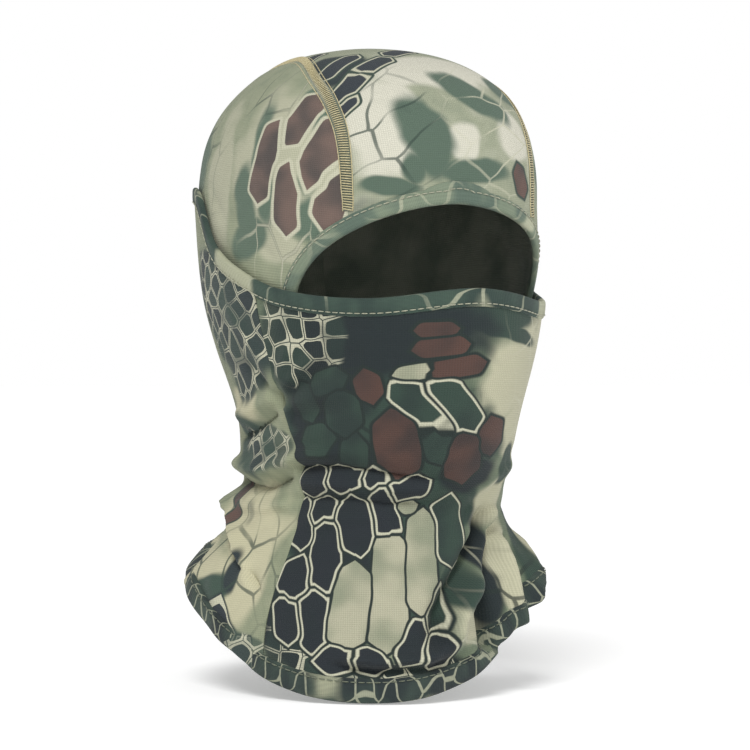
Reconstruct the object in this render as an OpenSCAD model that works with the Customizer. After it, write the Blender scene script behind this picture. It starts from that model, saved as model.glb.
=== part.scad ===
// Pull-on face mask in stretch knit: an inner hood and an outer mask tube.
// The hood has a crown strip, two side panels and a face opening.
// The tube has a front and a back, an upper hem that pulls down and a neck hem.
// Origin: inside of the crown's top.  +Z up, -Y the wearer's front, -X the wearer's right.
// Lengths in millimetres.  "Drop" is the depth below the origin.

/* [Fabric] */
// Thickness of the knit, mm
fabric = 0.8; // [0.7:0.05:0.9]
// Free gap between a cloth and the binding folded over it, mm
fold_gap = 0.45; // [0.4:0.05:0.5]
// Thickness of one leg of a binding, mm
binding_leg = 0.9; // [0.8:0.05:1.0]

/* [Hood] */
// Height of the crown above the brow, mm
crown_height = 76; // [74:78]
// Half of the hood's breadth at the brow, mm
hood_half_breadth = 80; // [79:81]
// From the middle of the head to the brow, mm
hood_front = 87; // [86:88]
// From the middle of the head to its back, mm
hood_back = 99; // [98:100]
// Exponent of the crown's curve (2 is round, 3 is boxy)
crown_power = 2.4; // [2.3:0.1:2.5]

/* [Face opening] */
// Drop of the middle of the opening, mm
opening_drop = 131; // [130:132]
// Half of the height of the opening, mm
opening_half_height = 50.5; // [49:52]
// Half of the angle that the opening spans round the head, degrees
opening_half_angle = 57; // [56:58]
// Exponent of the opening's outline
opening_power = 1.75; // [1.7:0.05:1.9]
// Height of the binding round the opening, mm
face_binding_width = 8.2; // [7.5:0.1:8.5]

/* [Crown seams] */
// Angle from the front at which each seam meets the brow, degrees
brow_seam_angle = 36.5; // [35:38]
// Angle from the back at which each seam meets the neck, degrees
nape_seam_angle = 15.5; // [14:17]
// Width of the flat seam, mm
seam_width = 5; // [4.5:0.5:5.5]
// Thickness of the seam's thread, mm
seam_thread = 0.5; // [0.4:0.1:0.6]

// Share of the seam line hidden under the face binding
seam_start = 0.024; // [0.022:0.001:0.03]
// Share of the seam line at which the seam meets the neck
seam_end = 0.975; // [0.96:0.005:0.98]

/* [Mask tube] */
// Height of the mask's upper binding, mm
mask_binding_width = 9; // [8.5:0.5:9.5]
// Drop at which the mask starts to move when it is pulled down, mm
pull_line_drop = 235; // [234:236]
// Drop at which the hood is sewn to the tube, mm
join_drop = 240; // [239:241]
// Height of the turned neck hem, mm
neck_hem_width = 12; // [11:13]
// Free gap between the cloth and the neck hem folded over it, mm
hem_gap = 0.75; // [0.7:0.05:0.8]

/* [Hidden] */
$fn = 24;
// Hood below the brow: drop, half breadth, front, back
hood_stations = [
    [crown_height, hood_half_breadth, hood_front, hood_back],
    [100, 79, 88, 97], [130, 75, 86, 88], [160, 66, 80, 76],
    [190, 57, 68, 64], [215, 56, 67, 66], [join_drop, 57, 67, 68]];
// Tube: drop, half breadth, front, back
tube_stations = [
    [50, 85.5, 95, 104.8], [90, 84.5, 98, 103.6], [125, 80.6, 106, 95.6],
    [150, 74, 108, 88], [180, 65, 103, 75], [205, 61, 92, 69],
    [220, 61, 81, 73], [232, 63, 75, 81], [250, 72, 76, 93],
    [268, 80, 84, 99], [295, 84, 90, 100], [325, 82, 90, 100]];
// Broad folds of the loose neck: angle, half angle, depth
neck_folds = [[52, 28, 8], [26, 24, -8], [-118, 28, 9], [118, 30, 6], [180, 30, 4]];
// Upper hem of the tube: angle, drop
upper_hem = [
    [-210, 70], [-180, 70], [-150, 70.5], [-117, 73], [-100, 99], [-80, 115],
    [-60, 125], [-30, 130], [0, 125], [30, 130], [60, 125], [80, 115],
    [100, 99], [117, 73], [150, 70.5], [180, 70], [210, 70]];
// Lower hem of the tube: angle, drop
lower_hem = [
    [-240, 265], [-180, 257], [-120, 267], [-90, 293], [-60, 315], [-25, 321],
    [5, 311], [25, 292], [50, 271], [90, 262], [135, 258], [180, 257], [240, 265]];
// Side seam of the tube: drop, angle
side_seam_line = [[110, 74], [174, 68], [205, 61], [250, 61], [290, 66], [330, 67]];
// Crown seam in the plan of the hood, between the brow and the neck: forward, sideways
crown_seam_plan = [[-0.836, 0.619], [-0.643, 0.512], [-0.4845, 0.46], [-0.309, 0.41],
    [0.015, 0.29], [0.4, 0.26], [1.0, 0.28], [2.0, 0.54]];
join_ring = join_drop / crown_height;
loop_steps = 96;
outer_face = fabric;
thread_lift = 0.12;
seam_lift = 0.3;

// Smooth step from 0 to 1
function ease(t) = let (u = min(max(t, 0), 1)) u * u * (3 - 2 * u);
function pick(s, x, i = 0) = i >= len(s) - 2 || x < s[i + 1][0] ? i : pick(s, x, i + 1);
function slope(s, i, c) = let (a = max(i - 1, 0), b = min(i + 1, len(s) - 1))
    (s[b][c] - s[a][c]) / (s[b][0] - s[a][0]);
// Smooth curve through the stations, column c against column 0
function along(s, x, c = 1) = let (
    q = min(max(x, s[0][0]), s[len(s) - 1][0]), i = pick(s, q),
    h = s[i + 1][0] - s[i][0], t = (q - s[i][0]) / h, u = t * t, w = u * t)
    (2 * w - 3 * u + 1) * s[i][c] + (w - 2 * u + t) * h * slope(s, i, c)
    + (3 * u - 2 * w) * s[i + 1][c] + (w - u) * h * slope(s, i + 1, c);
function wrap(a) = a > 180 ? wrap(a - 360) : a < -180 ? wrap(a + 360) : a;
// Radius of a superellipse at an angle from the front
function oval(a, side, front, back, nf, nb) = let (
    s = abs(sin(a)) / side, c = cos(a), d = abs(c) / (c > 0 ? front : back),
    n = c > 0 ? nf : nb) pow(pow(s, n) + pow(d, n), -1 / n);
function fold_depth(a) = let (f = [for (k = neck_folds) k[2] * exp(-pow(wrap(a - k[0]) / k[1], 2))])
    f * [for (k = neck_folds) 1];
function tube_radius(a, d) = oval(a, along(tube_stations, d, 1), along(tube_stations, d, 2),
    along(tube_stations, d, 3), 2.0, 2.1) + fold_depth(a) * ease((d - 240) / 30);
function hood_radius(a, d) = let (
    k = ease((d - 205) / (join_drop - 205)),
    r = oval(a, along(hood_stations, d, 1), along(hood_stations, d, 2),
        along(hood_stations, d, 3), 2.3, 2.2)) (1 - k) * r + k * (tube_radius(a, d) - 2);
// A point of the hood: angle, drop over crown height, offset along the normal
function hood_at(a, t, off) = let (
    k = t < 1 ? pow(sin(90 * t), 2 / crown_power) : 1,
    d = t < 1 ? crown_height * (1 - pow(cos(90 * t), 2 / crown_power)) : t * crown_height,
    r = (hood_radius(a, max(d, crown_height)) + off) * k)
    [r * sin(a), -r * cos(a), -d + off * (1 - k)];
function plan_at(p, off) = hood_at(atan2(p[0], -p[1]), norm(p), off);
function tube_at(a, d, off) = let (r = tube_radius(a, d) + off) [r * sin(a), -r * cos(a), -d];
function plan(a, d) = (d / crown_height) * [sin(a), -cos(a)];
// The edge of the face opening, grown by an offset
function signed_power(v, p) = sign(v) * pow(abs(v), p);
function edge_angle(q, grow) = (opening_half_angle + grow / 1.42)
    * signed_power(sin(q), 2 / opening_power);
function edge_drop(q, grow) = opening_drop - (opening_half_height + grow)
    * signed_power(cos(q), 2 / opening_power);
function edge_at(q, grow, off) = hood_at(edge_angle(q, grow), edge_drop(q, grow) / crown_height, off);
corner_turn = asin(pow(brow_seam_angle / opening_half_angle, opening_power / 2));
function brow(q) = plan(edge_angle(q, 0), edge_drop(q, 0));
corner = brow(corner_turn);
nape_end = join_ring * [sin(nape_seam_angle), cos(nape_seam_angle)];
seam_line = concat([[corner[1], corner[0]]], crown_seam_plan, [[nape_end[1], nape_end[0]]]);
// A point of the crown seam's plan, 0 at the brow and 1 at the neck
function seam_plan(v) = let (y = corner[1] + (nape_end[1] - corner[1]) * v) [along(seam_line, y), y];
function mirrored(p) = [-p[0], p[1]];
// Patch between four curves, each given as a row of points
function patch(top, low, left, right) = [for (i = [0:len(left) - 1]) let (v = i / (len(left) - 1))
    [for (j = [0:len(top) - 1]) let (u = j / (len(top) - 1))
        (1 - v) * top[j] + v * low[j] + (1 - u) * left[i] + u * right[i]
        - (1 - u) * (1 - v) * top[0] - u * (1 - v) * top[len(top) - 1]
        - (1 - u) * v * low[0] - u * v * low[len(low) - 1]]];
function lifted(grid, off) = [for (row = grid) [for (p = row) plan_at(p, off)]];

// Closed solid between an inner and an outer grid of points
module sheet(inner, outer, flip = false) {
    n = len(inner); m = len(inner[0]); s = n * m;
    pts = concat([for (r = inner) each r], [for (r = outer) each r]);
    quads = concat(
        [for (i = [0:n - 2], j = [0:m - 2]) [i * m + j, i * m + j + 1, (i + 1) * m + j + 1, (i + 1) * m + j]],
        [for (i = [0:n - 2], j = [0:m - 2]) [s + i * m + j, s + (i + 1) * m + j,
            s + (i + 1) * m + j + 1, s + i * m + j + 1]],
        [for (i = [0:n - 2]) [i * m, (i + 1) * m, s + (i + 1) * m, s + i * m]],
        [for (i = [0:n - 2]) [i * m + m - 1, s + i * m + m - 1, s + (i + 1) * m + m - 1, (i + 1) * m + m - 1]],
        [for (j = [0:m - 2]) [j, s + j, s + j + 1, j + 1]],
        [for (j = [0:m - 2]) [(n - 1) * m + j, (n - 1) * m + j + 1, s + (n - 1) * m + j + 1, s + (n - 1) * m + j]]);
    tris = [for (q = quads) each [[q[0], q[1], q[2]], [q[0], q[2], q[3]]]];
    polyhedron(pts, flip ? [for (t = tris) [t[2], t[1], t[0]]] : tris);
}

// Solid swept through cross-sections, closed in a ring or capped at its ends
module sweep(sections, closed = true, flip = false) {
    n = len(sections); m = len(sections[0]); last = closed ? n - 1 : n - 2;
    pts = [for (s = sections) each s];
    sides = [for (i = [0:last], j = [0:m - 1]) let (k = (i + 1) % n, l = (j + 1) % m)
        each [[i * m + j, i * m + l, k * m + l], [i * m + j, k * m + l, k * m + j]]];
    caps = closed ? [] : [for (j = [1:m - 2]) each [[0, j + 1, j],
        [(n - 1) * m, (n - 1) * m + j, (n - 1) * m + j + 1]]];
    tris = concat(sides, caps);
    polyhedron(pts, flip ? [for (t = tris) [t[2], t[1], t[0]]] : tris);
}

// Folded binding in section: distance from the cloth's edge, offset from its inner face
function fold_section(width, gap, legs = 1) = let (
    a = -gap - binding_leg, b = -gap, c = fabric + gap, d = c + binding_leg, e = width - 1.7,
    out = [for (k = [1:legs]) e * k / legs], back = [for (k = [legs:-1:1]) e * k / legs])
    concat([[-1.7, a]], [for (k = out) [k, a]], [for (k = back) [k, b]], [[-0.8, b], [-0.8, c]],
        [for (k = out) [k, c]], [for (k = back) [k, d]], [[-1.7, d]]);
function thread_section(from, lift) = [[from, lift], [from + 0.8, lift], [from + 0.8, lift + 0.6], [from, lift + 0.6]];
function leg_top(gap) = fabric + gap + binding_leg + thread_lift;
function turn(i) = 360 * i / loop_steps;
function tube_loop(section, hem, down) = [for (i = [0:loop_steps - 1]) let (a = turn(i) - 180)
    [for (p = section) tube_at(a, along(hem, a) + down * p[0], p[1])]];
function face_loop(section) = [for (i = [0:loop_steps - 1]) [for (p = section) edge_at(turn(i), p[0], p[1])]];

module crown_centre_panel() {
    rows = 40; cols = 8;
    left = [for (i = [0:rows]) mirrored(seam_plan(i / rows))];
    right = [for (i = [0:rows]) seam_plan(i / rows)];
    top = [for (j = [0:cols]) brow(corner_turn * (2 * j / cols - 1))];
    low = [for (j = [0:cols]) let (a = 180 + nape_seam_angle * (1 - 2 * j / cols)) join_ring * [sin(a), -cos(a)]];
    grid = patch(top, low, left, right);
    color("#8d9479") sheet(lifted(inset_sides(grid, 0.002), 0), lifted(inset_sides(grid, 0.002), outer_face), true);
}

// Draws the sides of a plan grid in a little, so that neighbours stay apart
function inset_sides(grid, by) = [for (row = grid) let (m = len(row) - 1)
    [for (j = [0:m]) row[j] + (j == 0 ? by : j == m ? -by : 0) * unit(row[m] - row[0])]];
function unit(v) = v / max(norm(v), 0.0001);

function side_grid() = let (rows = 32, cols = 18) patch(
    [for (j = [0:cols]) brow(corner_turn + (180 - corner_turn) * j / cols)],
    [for (j = [0:cols]) let (a = (180 - nape_seam_angle) * (1 - j / cols)) join_ring * [sin(a), -cos(a)]],
    [for (i = [0:rows]) seam_plan(i / rows)],
    [for (i = [0:rows]) plan(0, edge_drop(180, 0) + (join_drop - edge_drop(180, 0)) * i / rows)]);

module crown_side_panel(hand) {
    grid = [for (row = inset_sides(side_grid(), 0.002)) [for (p = row) [hand * p[0], p[1]]]];
    sheet(lifted(grid, 0), lifted(grid, outer_face), hand > 0);
}

module crown_side_panel_right() { color("#7f866c") crown_side_panel(-1); }
module crown_side_panel_left() { color("#7f866c") crown_side_panel(1); }

module face_binding() { color("#66716a") sweep(face_loop(fold_section(face_binding_width, fold_gap)), true, true); }

module face_binding_stitching() {
    color("#b7b09a") sweep(face_loop(thread_section(face_binding_width - 3.2, leg_top(fold_gap))), true, true);
}

module crown_seam(hand) {
    rows = 60; half = seam_width / 2 / 80;
    sections = [for (i = [0:rows]) let (
        v = seam_start + (seam_end - seam_start) * i / rows, p = seam_plan(v), q = seam_plan(v + 0.004),
        n = half * unit([q[1] - p[1], p[0] - q[0]]))
        [for (k = [[-1, 0], [1, 0], [1, 1], [-1, 1]]) let (c = p + k[0] * n)
            plan_at([hand * c[0], c[1]], outer_face + seam_lift + k[1] * seam_thread)]];
    color("#b7b095") sweep(sections, false, hand < 0);
}

module crown_seam_right() { crown_seam(-1); }
module crown_seam_left() { crown_seam(1); }

module join_seam() {
    section = [[join_drop - 4.6, -0.95], [join_drop - 1.2, -0.95], [join_drop - 1.2, -0.25], [join_drop - 4.6, -0.25]];
    sections = [for (i = [0:loop_steps - 1]) let (a = turn(i) - 180)
        [for (p = section) tube_at(a, p[0] + 3, p[1])]];
    color("#5a6456") sweep(sections, true);
}

// Angle of a column at a drop: columns near the side seam follow it
function followed(s, k, d) = s + sign(s) * k * (along(side_seam_line, d) - 61);
// A piece of the tube between two angles and two edges
function tube_piece(angles, rows, top, low, off) = [for (i = [0:rows]) let (v = i / rows)
    [for (j = [0:len(angles) - 1]) let (s = angles[j][0], k = angles[j][1],
        d0 = top(followed(s, k, top(s))), d1 = low(followed(s, k, low(s))), d = d0 + (d1 - d0) * v)
        tube_at(followed(s, k, d), d, off)]];

// Columns of a front piece: angle and how far the column follows the side seam
front_columns = [for (j = [-16:16]) let (s = 60.6 * j / 16) [s, pow(abs(s) / 60.6, 2)]];
// Columns of a back piece, from the right seam round the back to the left seam
back_columns = [for (j = [0:44]) let (s = -61.4 - 237.2 * j / 44, w = wrap(s))
    [w, pow(max(0, 1 - (180 - abs(w)) / 118.6 < 0 ? 0 : (180 - abs(w)) / 118.6), 2)]];

module tube_part(columns, rows, top, low, flip) {
    sheet(tube_piece(columns, rows, top, low, 0), tube_piece(columns, rows, top, low, outer_face), flip);
}

module face_panel() {
    color("#3f4a45") tube_part(front_columns, 14, function (a) along(upper_hem, a),
        function (a) pull_line_drop - 0.25, false);
}

module occiput_panel() {
    color("#6f776a") tube_part(back_columns, 14, function (a) along(upper_hem, a),
        function (a) pull_line_drop - 0.25, true);
}

module throat_panel() {
    color("#3f4a45") tube_part(front_columns, 12, function (a) pull_line_drop + 0.25,
        function (a) along(lower_hem, a), false);
}

module nape_panel() {
    color("#8d9479") tube_part(back_columns, 10, function (a) pull_line_drop + 0.25,
        function (a) along(lower_hem, a), true);
}

module mask_binding() {
    color("#59625c") sweep(tube_loop(fold_section(mask_binding_width, fold_gap), upper_hem, 1), true);
}

module mask_binding_stitching() {
    color("#b7b09a") sweep(tube_loop(thread_section(mask_binding_width - 3.2, leg_top(fold_gap)),
        upper_hem, 1), true);
}

module side_seam(hand) {
    rows = 24;
    sections = [for (i = [0:rows]) let (
        d0 = join_drop + 5, a0 = hand * along(side_seam_line, 290), d1 = along(lower_hem, a0) - 12,
        d = d0 + (d1 - d0) * i / rows, a = hand * along(side_seam_line, d))
        [for (k = [[-1.7, -1.6], [1.7, -1.6], [1.7, -0.5], [-1.7, -0.5]]) tube_at(a + k[0], d, k[1])]];
    color("#5a6456") sweep(sections, false);
}

module side_seam_right() { side_seam(-1); }
module side_seam_left() { side_seam(1); }

module neck_hem() {
    color("#59625c") sweep(tube_loop(fold_section(neck_hem_width, hem_gap, 2), lower_hem, -1), true, true);
}

module neck_hem_stitching() {
    color("#b7b09a") sweep(tube_loop(thread_section(neck_hem_width - 3.4, leg_top(hem_gap)),
        lower_hem, -1), true, true);
}

crown_centre_panel();
crown_side_panel_right();
crown_side_panel_left();
face_binding();
face_binding_stitching();
crown_seam_right();
crown_seam_left();
join_seam();
throat_panel();
nape_panel();
side_seam_right();
side_seam_left();
neck_hem();
neck_hem_stitching();
face_panel();
occiput_panel();
mask_binding();
mask_binding_stitching();
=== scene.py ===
"""Looks of the pull-on camouflage face mask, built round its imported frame.

Lengths in the design values are millimetres and angles are degrees from the
wearer's front, positive to the wearer's left.  A "drop" is the depth below the
inside of the crown.  Finished meshes are in metres.
"""

import logging
import math
from dataclasses import dataclass, field
from enum import Enum
from typing import Callable, Optional, Union

import bpy
import numpy as np
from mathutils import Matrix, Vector

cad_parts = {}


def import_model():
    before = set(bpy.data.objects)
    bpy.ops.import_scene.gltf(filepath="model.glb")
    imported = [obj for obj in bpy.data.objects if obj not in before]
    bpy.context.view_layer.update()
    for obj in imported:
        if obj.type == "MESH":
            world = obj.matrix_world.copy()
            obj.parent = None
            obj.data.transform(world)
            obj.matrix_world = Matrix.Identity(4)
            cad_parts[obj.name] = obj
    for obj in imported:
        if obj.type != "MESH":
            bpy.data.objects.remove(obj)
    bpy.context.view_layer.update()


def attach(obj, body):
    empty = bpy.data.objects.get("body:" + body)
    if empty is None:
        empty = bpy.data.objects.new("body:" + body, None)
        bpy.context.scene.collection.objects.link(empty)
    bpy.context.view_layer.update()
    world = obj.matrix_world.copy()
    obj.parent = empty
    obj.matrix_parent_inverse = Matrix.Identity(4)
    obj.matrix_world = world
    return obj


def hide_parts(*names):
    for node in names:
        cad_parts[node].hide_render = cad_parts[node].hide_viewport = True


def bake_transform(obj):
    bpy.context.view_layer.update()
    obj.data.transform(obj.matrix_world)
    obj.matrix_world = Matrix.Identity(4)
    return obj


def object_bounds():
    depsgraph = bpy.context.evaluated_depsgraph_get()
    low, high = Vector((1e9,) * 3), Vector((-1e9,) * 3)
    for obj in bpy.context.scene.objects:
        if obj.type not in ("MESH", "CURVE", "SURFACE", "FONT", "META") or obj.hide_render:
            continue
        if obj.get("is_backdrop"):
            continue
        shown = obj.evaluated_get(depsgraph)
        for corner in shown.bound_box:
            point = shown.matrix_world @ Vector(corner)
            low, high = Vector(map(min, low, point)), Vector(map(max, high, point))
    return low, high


log = logging.getLogger("face_mask")

MM = 0.001
CLOTH = 0.8
HOOD = "hood"
MASK = "mask"
UV_NAME = "cloth"

Array = np.ndarray
Number = Union[float, Array]
Socket = Union[bpy.types.NodeSocket, float, tuple]
Pair = tuple[float, float]


# --------------------------------------------------------------------------
# Small mathematics
# --------------------------------------------------------------------------


def ease(value: Number) -> Array:
    """Smooth step from 0 to 1.

    Args:
        value: Position, 0 at the start and 1 at the end.

    Returns:
        The eased position.
    """
    held = np.clip(value, 0.0, 1.0)
    return held * held * (3.0 - 2.0 * held)


def wrapped(angle: Number) -> Array:
    """Brings an angle into -180 to 180 degrees."""
    return (np.asarray(angle, float) + 180.0) % 360.0 - 180.0


def unit_rows(vectors: Array) -> Array:
    """Scales each row of vectors to length 1."""
    return vectors / np.maximum(np.linalg.norm(vectors, axis=-1, keepdims=True), 1e-9)


@dataclass(frozen=True)
class Stations:
    """A smooth curve through measured stations, first column against the rest."""

    rows: tuple[tuple[float, ...], ...]

    def at(self, where: Number, column: int = 1) -> Array:
        """Value of a column at a place, held at both ends.

        Args:
            where: Places along the first column.
            column: Which column to read.

        Returns:
            The interpolated values.
        """
        keys = np.array([row[0] for row in self.rows], float)
        values = np.array([row[column] for row in self.rows], float)
        slopes = np.gradient(values)
        spans = np.gradient(keys)
        slopes = slopes / spans
        held = np.clip(where, keys[0], keys[-1])
        index = np.clip(np.searchsorted(keys, held, side="right") - 1, 0, len(keys) - 2)
        width = keys[index + 1] - keys[index]
        t = (held - keys[index]) / width
        square, cube = t * t, t * t * t
        return (
            (2 * cube - 3 * square + 1) * values[index]
            + (cube - 2 * square + t) * width * slopes[index]
            + (3 * square - 2 * cube) * values[index + 1]
            + (cube - square) * width * slopes[index + 1]
        )


@dataclass(frozen=True)
class SoftNoise:
    """Seeded smooth noise between -1 and 1 on a repeating lattice."""

    seed: int
    size: int = 96

    def at(self, across: Number, along: Number) -> Array:
        """Noise at lattice coordinates.

        Args:
            across: First coordinate, in lattice steps.
            along: Second coordinate, in lattice steps.

        Returns:
            The noise, one value a point.
        """
        lattice = np.random.default_rng(self.seed).uniform(-1.0, 1.0, (self.size, self.size))
        a, b = np.broadcast_arrays(np.asarray(across, float), np.asarray(along, float))
        i, j = np.floor(a).astype(int), np.floor(b).astype(int)
        u, v = ease(a - i), ease(b - j)
        i, j = i % self.size, j % self.size
        k, m = (i + 1) % self.size, (j + 1) % self.size
        low = lattice[i, j] * (1 - u) + lattice[k, j] * u
        high = lattice[i, m] * (1 - u) + lattice[k, m] * u
        return low * (1 - v) + high * v


# --------------------------------------------------------------------------
# Drape of the cloth
# --------------------------------------------------------------------------


class FoldKind(Enum):
    """How the cloth lies at a fold."""

    ROLL = "a rounded ridge, or a valley where its height is negative"
    CREASE = "a ridge or valley with a sharp crest"
    LAP = "cloth that laps over the cloth below it"


@dataclass(frozen=True)
class Fold:
    """One fold along a path of (angle, drop) points."""

    path: tuple[Pair, ...]
    half_width: float
    height: float
    kind: FoldKind = FoldKind.ROLL
    fade_in: float = 12.0
    fade_out: float = 18.0
    mm_per_degree: float = 1.3

    def lift(self, angle: Array, drop: Array) -> Array:
        """Outward lift of the cloth.

        Args:
            angle: Angles of the points.
            drop: Drops of the points.

        Returns:
            The lift in millimetres.
        """
        best = np.full(angle.shape, 1e9)
        side = np.zeros(angle.shape)
        travelled = np.zeros(angle.shape)
        start = 0.0
        for (a0, d0), (a1, d1) in zip(self.path[:-1], self.path[1:]):
            run = np.array([(a1 - a0) * self.mm_per_degree, d1 - d0])
            length = float(np.hypot(*run))
            along_unit = run / length
            x = wrapped(angle - a0) * self.mm_per_degree
            y = drop - d0
            t = np.clip(x * along_unit[0] + y * along_unit[1], 0.0, length)
            dx, dy = x - t * along_unit[0], y - t * along_unit[1]
            distance = np.hypot(dx, dy)
            nearer = distance < best
            cross = along_unit[0] * dy - along_unit[1] * dx
            best = np.where(nearer, distance, best)
            side = np.where(nearer, np.sign(cross), side)
            travelled = np.where(nearer, start + t, travelled)
            start += length
        fade = ease(travelled / max(self.fade_in, 0.1)) * ease((start - travelled) / max(self.fade_out, 0.1))
        reach = best / self.half_width
        if self.kind is FoldKind.CREASE:
            profile = np.exp(-(np.sqrt(reach * reach + 0.03) - 0.173) * 1.5)
        elif self.kind is FoldKind.LAP:
            profile = -2.33 * side * reach * np.exp(-reach * reach)
        else:
            profile = np.exp(-reach * reach)
        return self.height * profile * fade


@dataclass(frozen=True)
class HeadForm:
    """The worn shape: an inner hood and an outer mask tube."""

    crown_height: float = 76.0
    crown_power: float = 2.4
    join_drop: float = 240.0
    # The hood flares from this drop, and stays this gap inside the tube
    flare_drop: float = 205.0
    hood_gap: float = 2.0
    # Above the tuck the hood is free of the tube's folds by the slack
    tuck_drop: float = 186.0
    tuck_run: float = 10.0
    tuck_slack: float = 40.0
    hood: Stations = Stations((
        (76, 80, 87, 99), (100, 79, 88, 97), (130, 75, 86, 88), (160, 66, 80, 76),
        (190, 57, 68, 64), (215, 56, 67, 66), (240, 57, 67, 68)))
    tube: Stations = Stations((
        (50, 83.6, 95, 102.6), (90, 82.8, 98, 101.6), (125, 80.2, 106, 95.0),
        (150, 74, 108, 88), (180, 65, 103, 75), (205, 61, 92, 69), (220, 61, 81, 73),
        (232, 63, 75, 81), (250, 72, 76, 93), (268, 80, 84, 99), (295, 84, 90, 100),
        (325, 82, 90, 100)))
    broad_folds: tuple[tuple[float, float, float], ...] = (
        (52, 28, 8), (26, 24, -8), (-118, 28, 9), (118, 30, 6), (180, 30, 4))
    upper_hem: Stations = Stations((
        (-210, 70), (-180, 70), (-150, 70.5), (-117, 73), (-100, 99), (-80, 115),
        (-60, 125), (-30, 130), (0, 125), (30, 130), (60, 125), (80, 115),
        (100, 99), (117, 73), (150, 70.5), (180, 70), (210, 70)))
    lower_hem: Stations = Stations((
        (-240, 265), (-180, 257), (-120, 267), (-90, 293), (-60, 315), (-25, 321),
        (5, 311), (25, 292), (50, 271), (90, 262), (135, 258), (180, 257), (240, 265)))
    side_seam: Stations = Stations((
        (110, 74), (174, 69), (190, 66), (208, 60.5), (250, 61.5), (290, 66), (330, 67)))
    folds: tuple[Fold, ...] = ()
    hood_folds: tuple[Fold, ...] = ()

    def oval(self, angle: Number, sizes: tuple[Array, Array, Array], front: float, back: float) -> Array:
        """Radius of a superellipse that is blunter or sharper in front and behind.

        Args:
            angle: Angles from the front.
            sizes: Half breadth, front depth and back depth.
            front: Exponent of the front half.
            back: Exponent of the back half.

        Returns:
            The radius at each angle.
        """
        radians = np.radians(angle)
        cosine = np.cos(radians)
        side = np.abs(np.sin(radians)) / sizes[0]
        depth = np.abs(cosine) / np.where(cosine > 0, sizes[1], sizes[2])
        power = np.where(cosine > 0, front, back)
        return (side**power + depth**power) ** (-1.0 / power)

    def plain_tube_radius(self, angle: Number, drop: Number) -> Array:
        """Radius of the tube before its folds."""
        sizes = tuple(self.tube.at(drop, column) for column in (1, 2, 3))
        radius = self.oval(angle, sizes, 2.0, 2.1)
        broad = sum(h * np.exp(-((wrapped(angle - a) / w) ** 2)) for a, w, h in self.broad_folds)
        return radius + broad * ease((np.asarray(drop) - 240.0) / 30.0)

    def relief(self, angle: Array, drop: Array) -> Array:
        """Lift of the tube by its folds and small wrinkles.

        Args:
            angle: Angles of the points.
            drop: Drops of the points.

        Returns:
            The lift in millimetres.
        """
        total = np.zeros(np.broadcast(angle, drop).shape)
        angle, drop = np.broadcast_to(angle, total.shape), np.broadcast_to(drop, total.shape)
        for fold in self.folds:
            total = total + fold.lift(angle, drop)
        # Slack: shallow and broad on the face, closer and deeper at the neck
        total += 0.7 * SoftNoise(3).at(angle / 24.0 + 20, drop / 30.0)
        neck = ease((drop - 185.0) / 25.0) * ease((262.0 - drop) / 25.0)
        bend = 1.6 * SoftNoise(5).at(angle / 26.0 + 20, drop / 40.0)
        total += neck * 1.0 * SoftNoise(8).at(angle / 17.0 + 30, drop / 6.5 + bend)
        collar = ease((drop - 248.0) / 25.0)
        total += collar * 1.6 * SoftNoise(11).at(angle / 11.0 + drop / 60.0 + 40, drop / 34.0)
        return total

    def tube_point(self, angle: Array, drop: Array, lift: Number = 0.0) -> Array:
        """Points on the mask tube.

        Args:
            angle: Angles of the points.
            drop: Drops of the points.
            lift: Distance outside the tube's inner face.

        Returns:
            Points in millimetres, one row each.
        """
        angle, drop = np.broadcast_arrays(np.asarray(angle, float), np.asarray(drop, float))
        radius = self.plain_tube_radius(angle, drop) + self.relief(angle, drop) + lift
        turn = np.radians(angle)
        return np.stack([radius * np.sin(turn), -radius * np.cos(turn), -drop], axis=-1)

    def hood_radius(self, angle: Array, drop: Array) -> Array:
        """Radius of the hood below the brow, flaring to meet the tube at the neck."""
        sizes = tuple(self.hood.at(drop, column) for column in (1, 2, 3))
        share = ease((drop - self.flare_drop) / (self.join_drop - self.flare_drop))
        own = self.oval(angle, sizes, 2.3, 2.2)
        outer = self.plain_tube_radius(angle, drop)
        free = 1 - ease((drop - self.tuck_drop) / self.tuck_run)
        below = outer + self.relief(angle, drop) - self.hood_gap + self.tuck_slack * free
        return np.minimum((1 - share) * own + share * (outer - self.hood_gap), below)

    def hood_point(self, angle: Array, ring: Array, lift: Number = 0.0) -> Array:
        """Points on the hood.

        Args:
            angle: Angles of the points.
            ring: Distance from the crown: 1 at the brow, then drop over crown height.
            lift: Distance outside the hood's inner face.

        Returns:
            Points in millimetres, one row each.
        """
        angle, ring = np.broadcast_arrays(np.asarray(angle, float), np.asarray(ring, float))
        quarter = np.clip(ring, 0.0, 1.0) * math.pi / 2
        round_in = np.where(ring < 1, np.sin(quarter) ** (2 / self.crown_power), 1.0)
        cap = self.crown_height * (1 - np.maximum(np.cos(quarter), 0.0) ** (2 / self.crown_power))
        drop = np.where(ring < 1, cap, ring * self.crown_height)
        lift = lift + sum(fold.lift(angle, drop) for fold in self.hood_folds)
        lift = lift + 0.45 * SoftNoise(17).at(angle / 22.0 * np.minimum(ring, 1) + 20, ring * 3.0)
        radius = (self.hood_radius(angle, np.maximum(drop, self.crown_height)) + lift) * round_in
        turn = np.radians(angle)
        return np.stack(
            [radius * np.sin(turn), -radius * np.cos(turn), -drop + lift * (1 - round_in)], axis=-1)

    def plan_point(self, plan: Array, lift: Number = 0.0) -> Array:
        """Points of the hood from its plan, a flat map centred on the crown."""
        angle = np.degrees(np.arctan2(plan[..., 0], -plan[..., 1]))
        return self.hood_point(angle, np.hypot(plan[..., 0], plan[..., 1]), lift)

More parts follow.
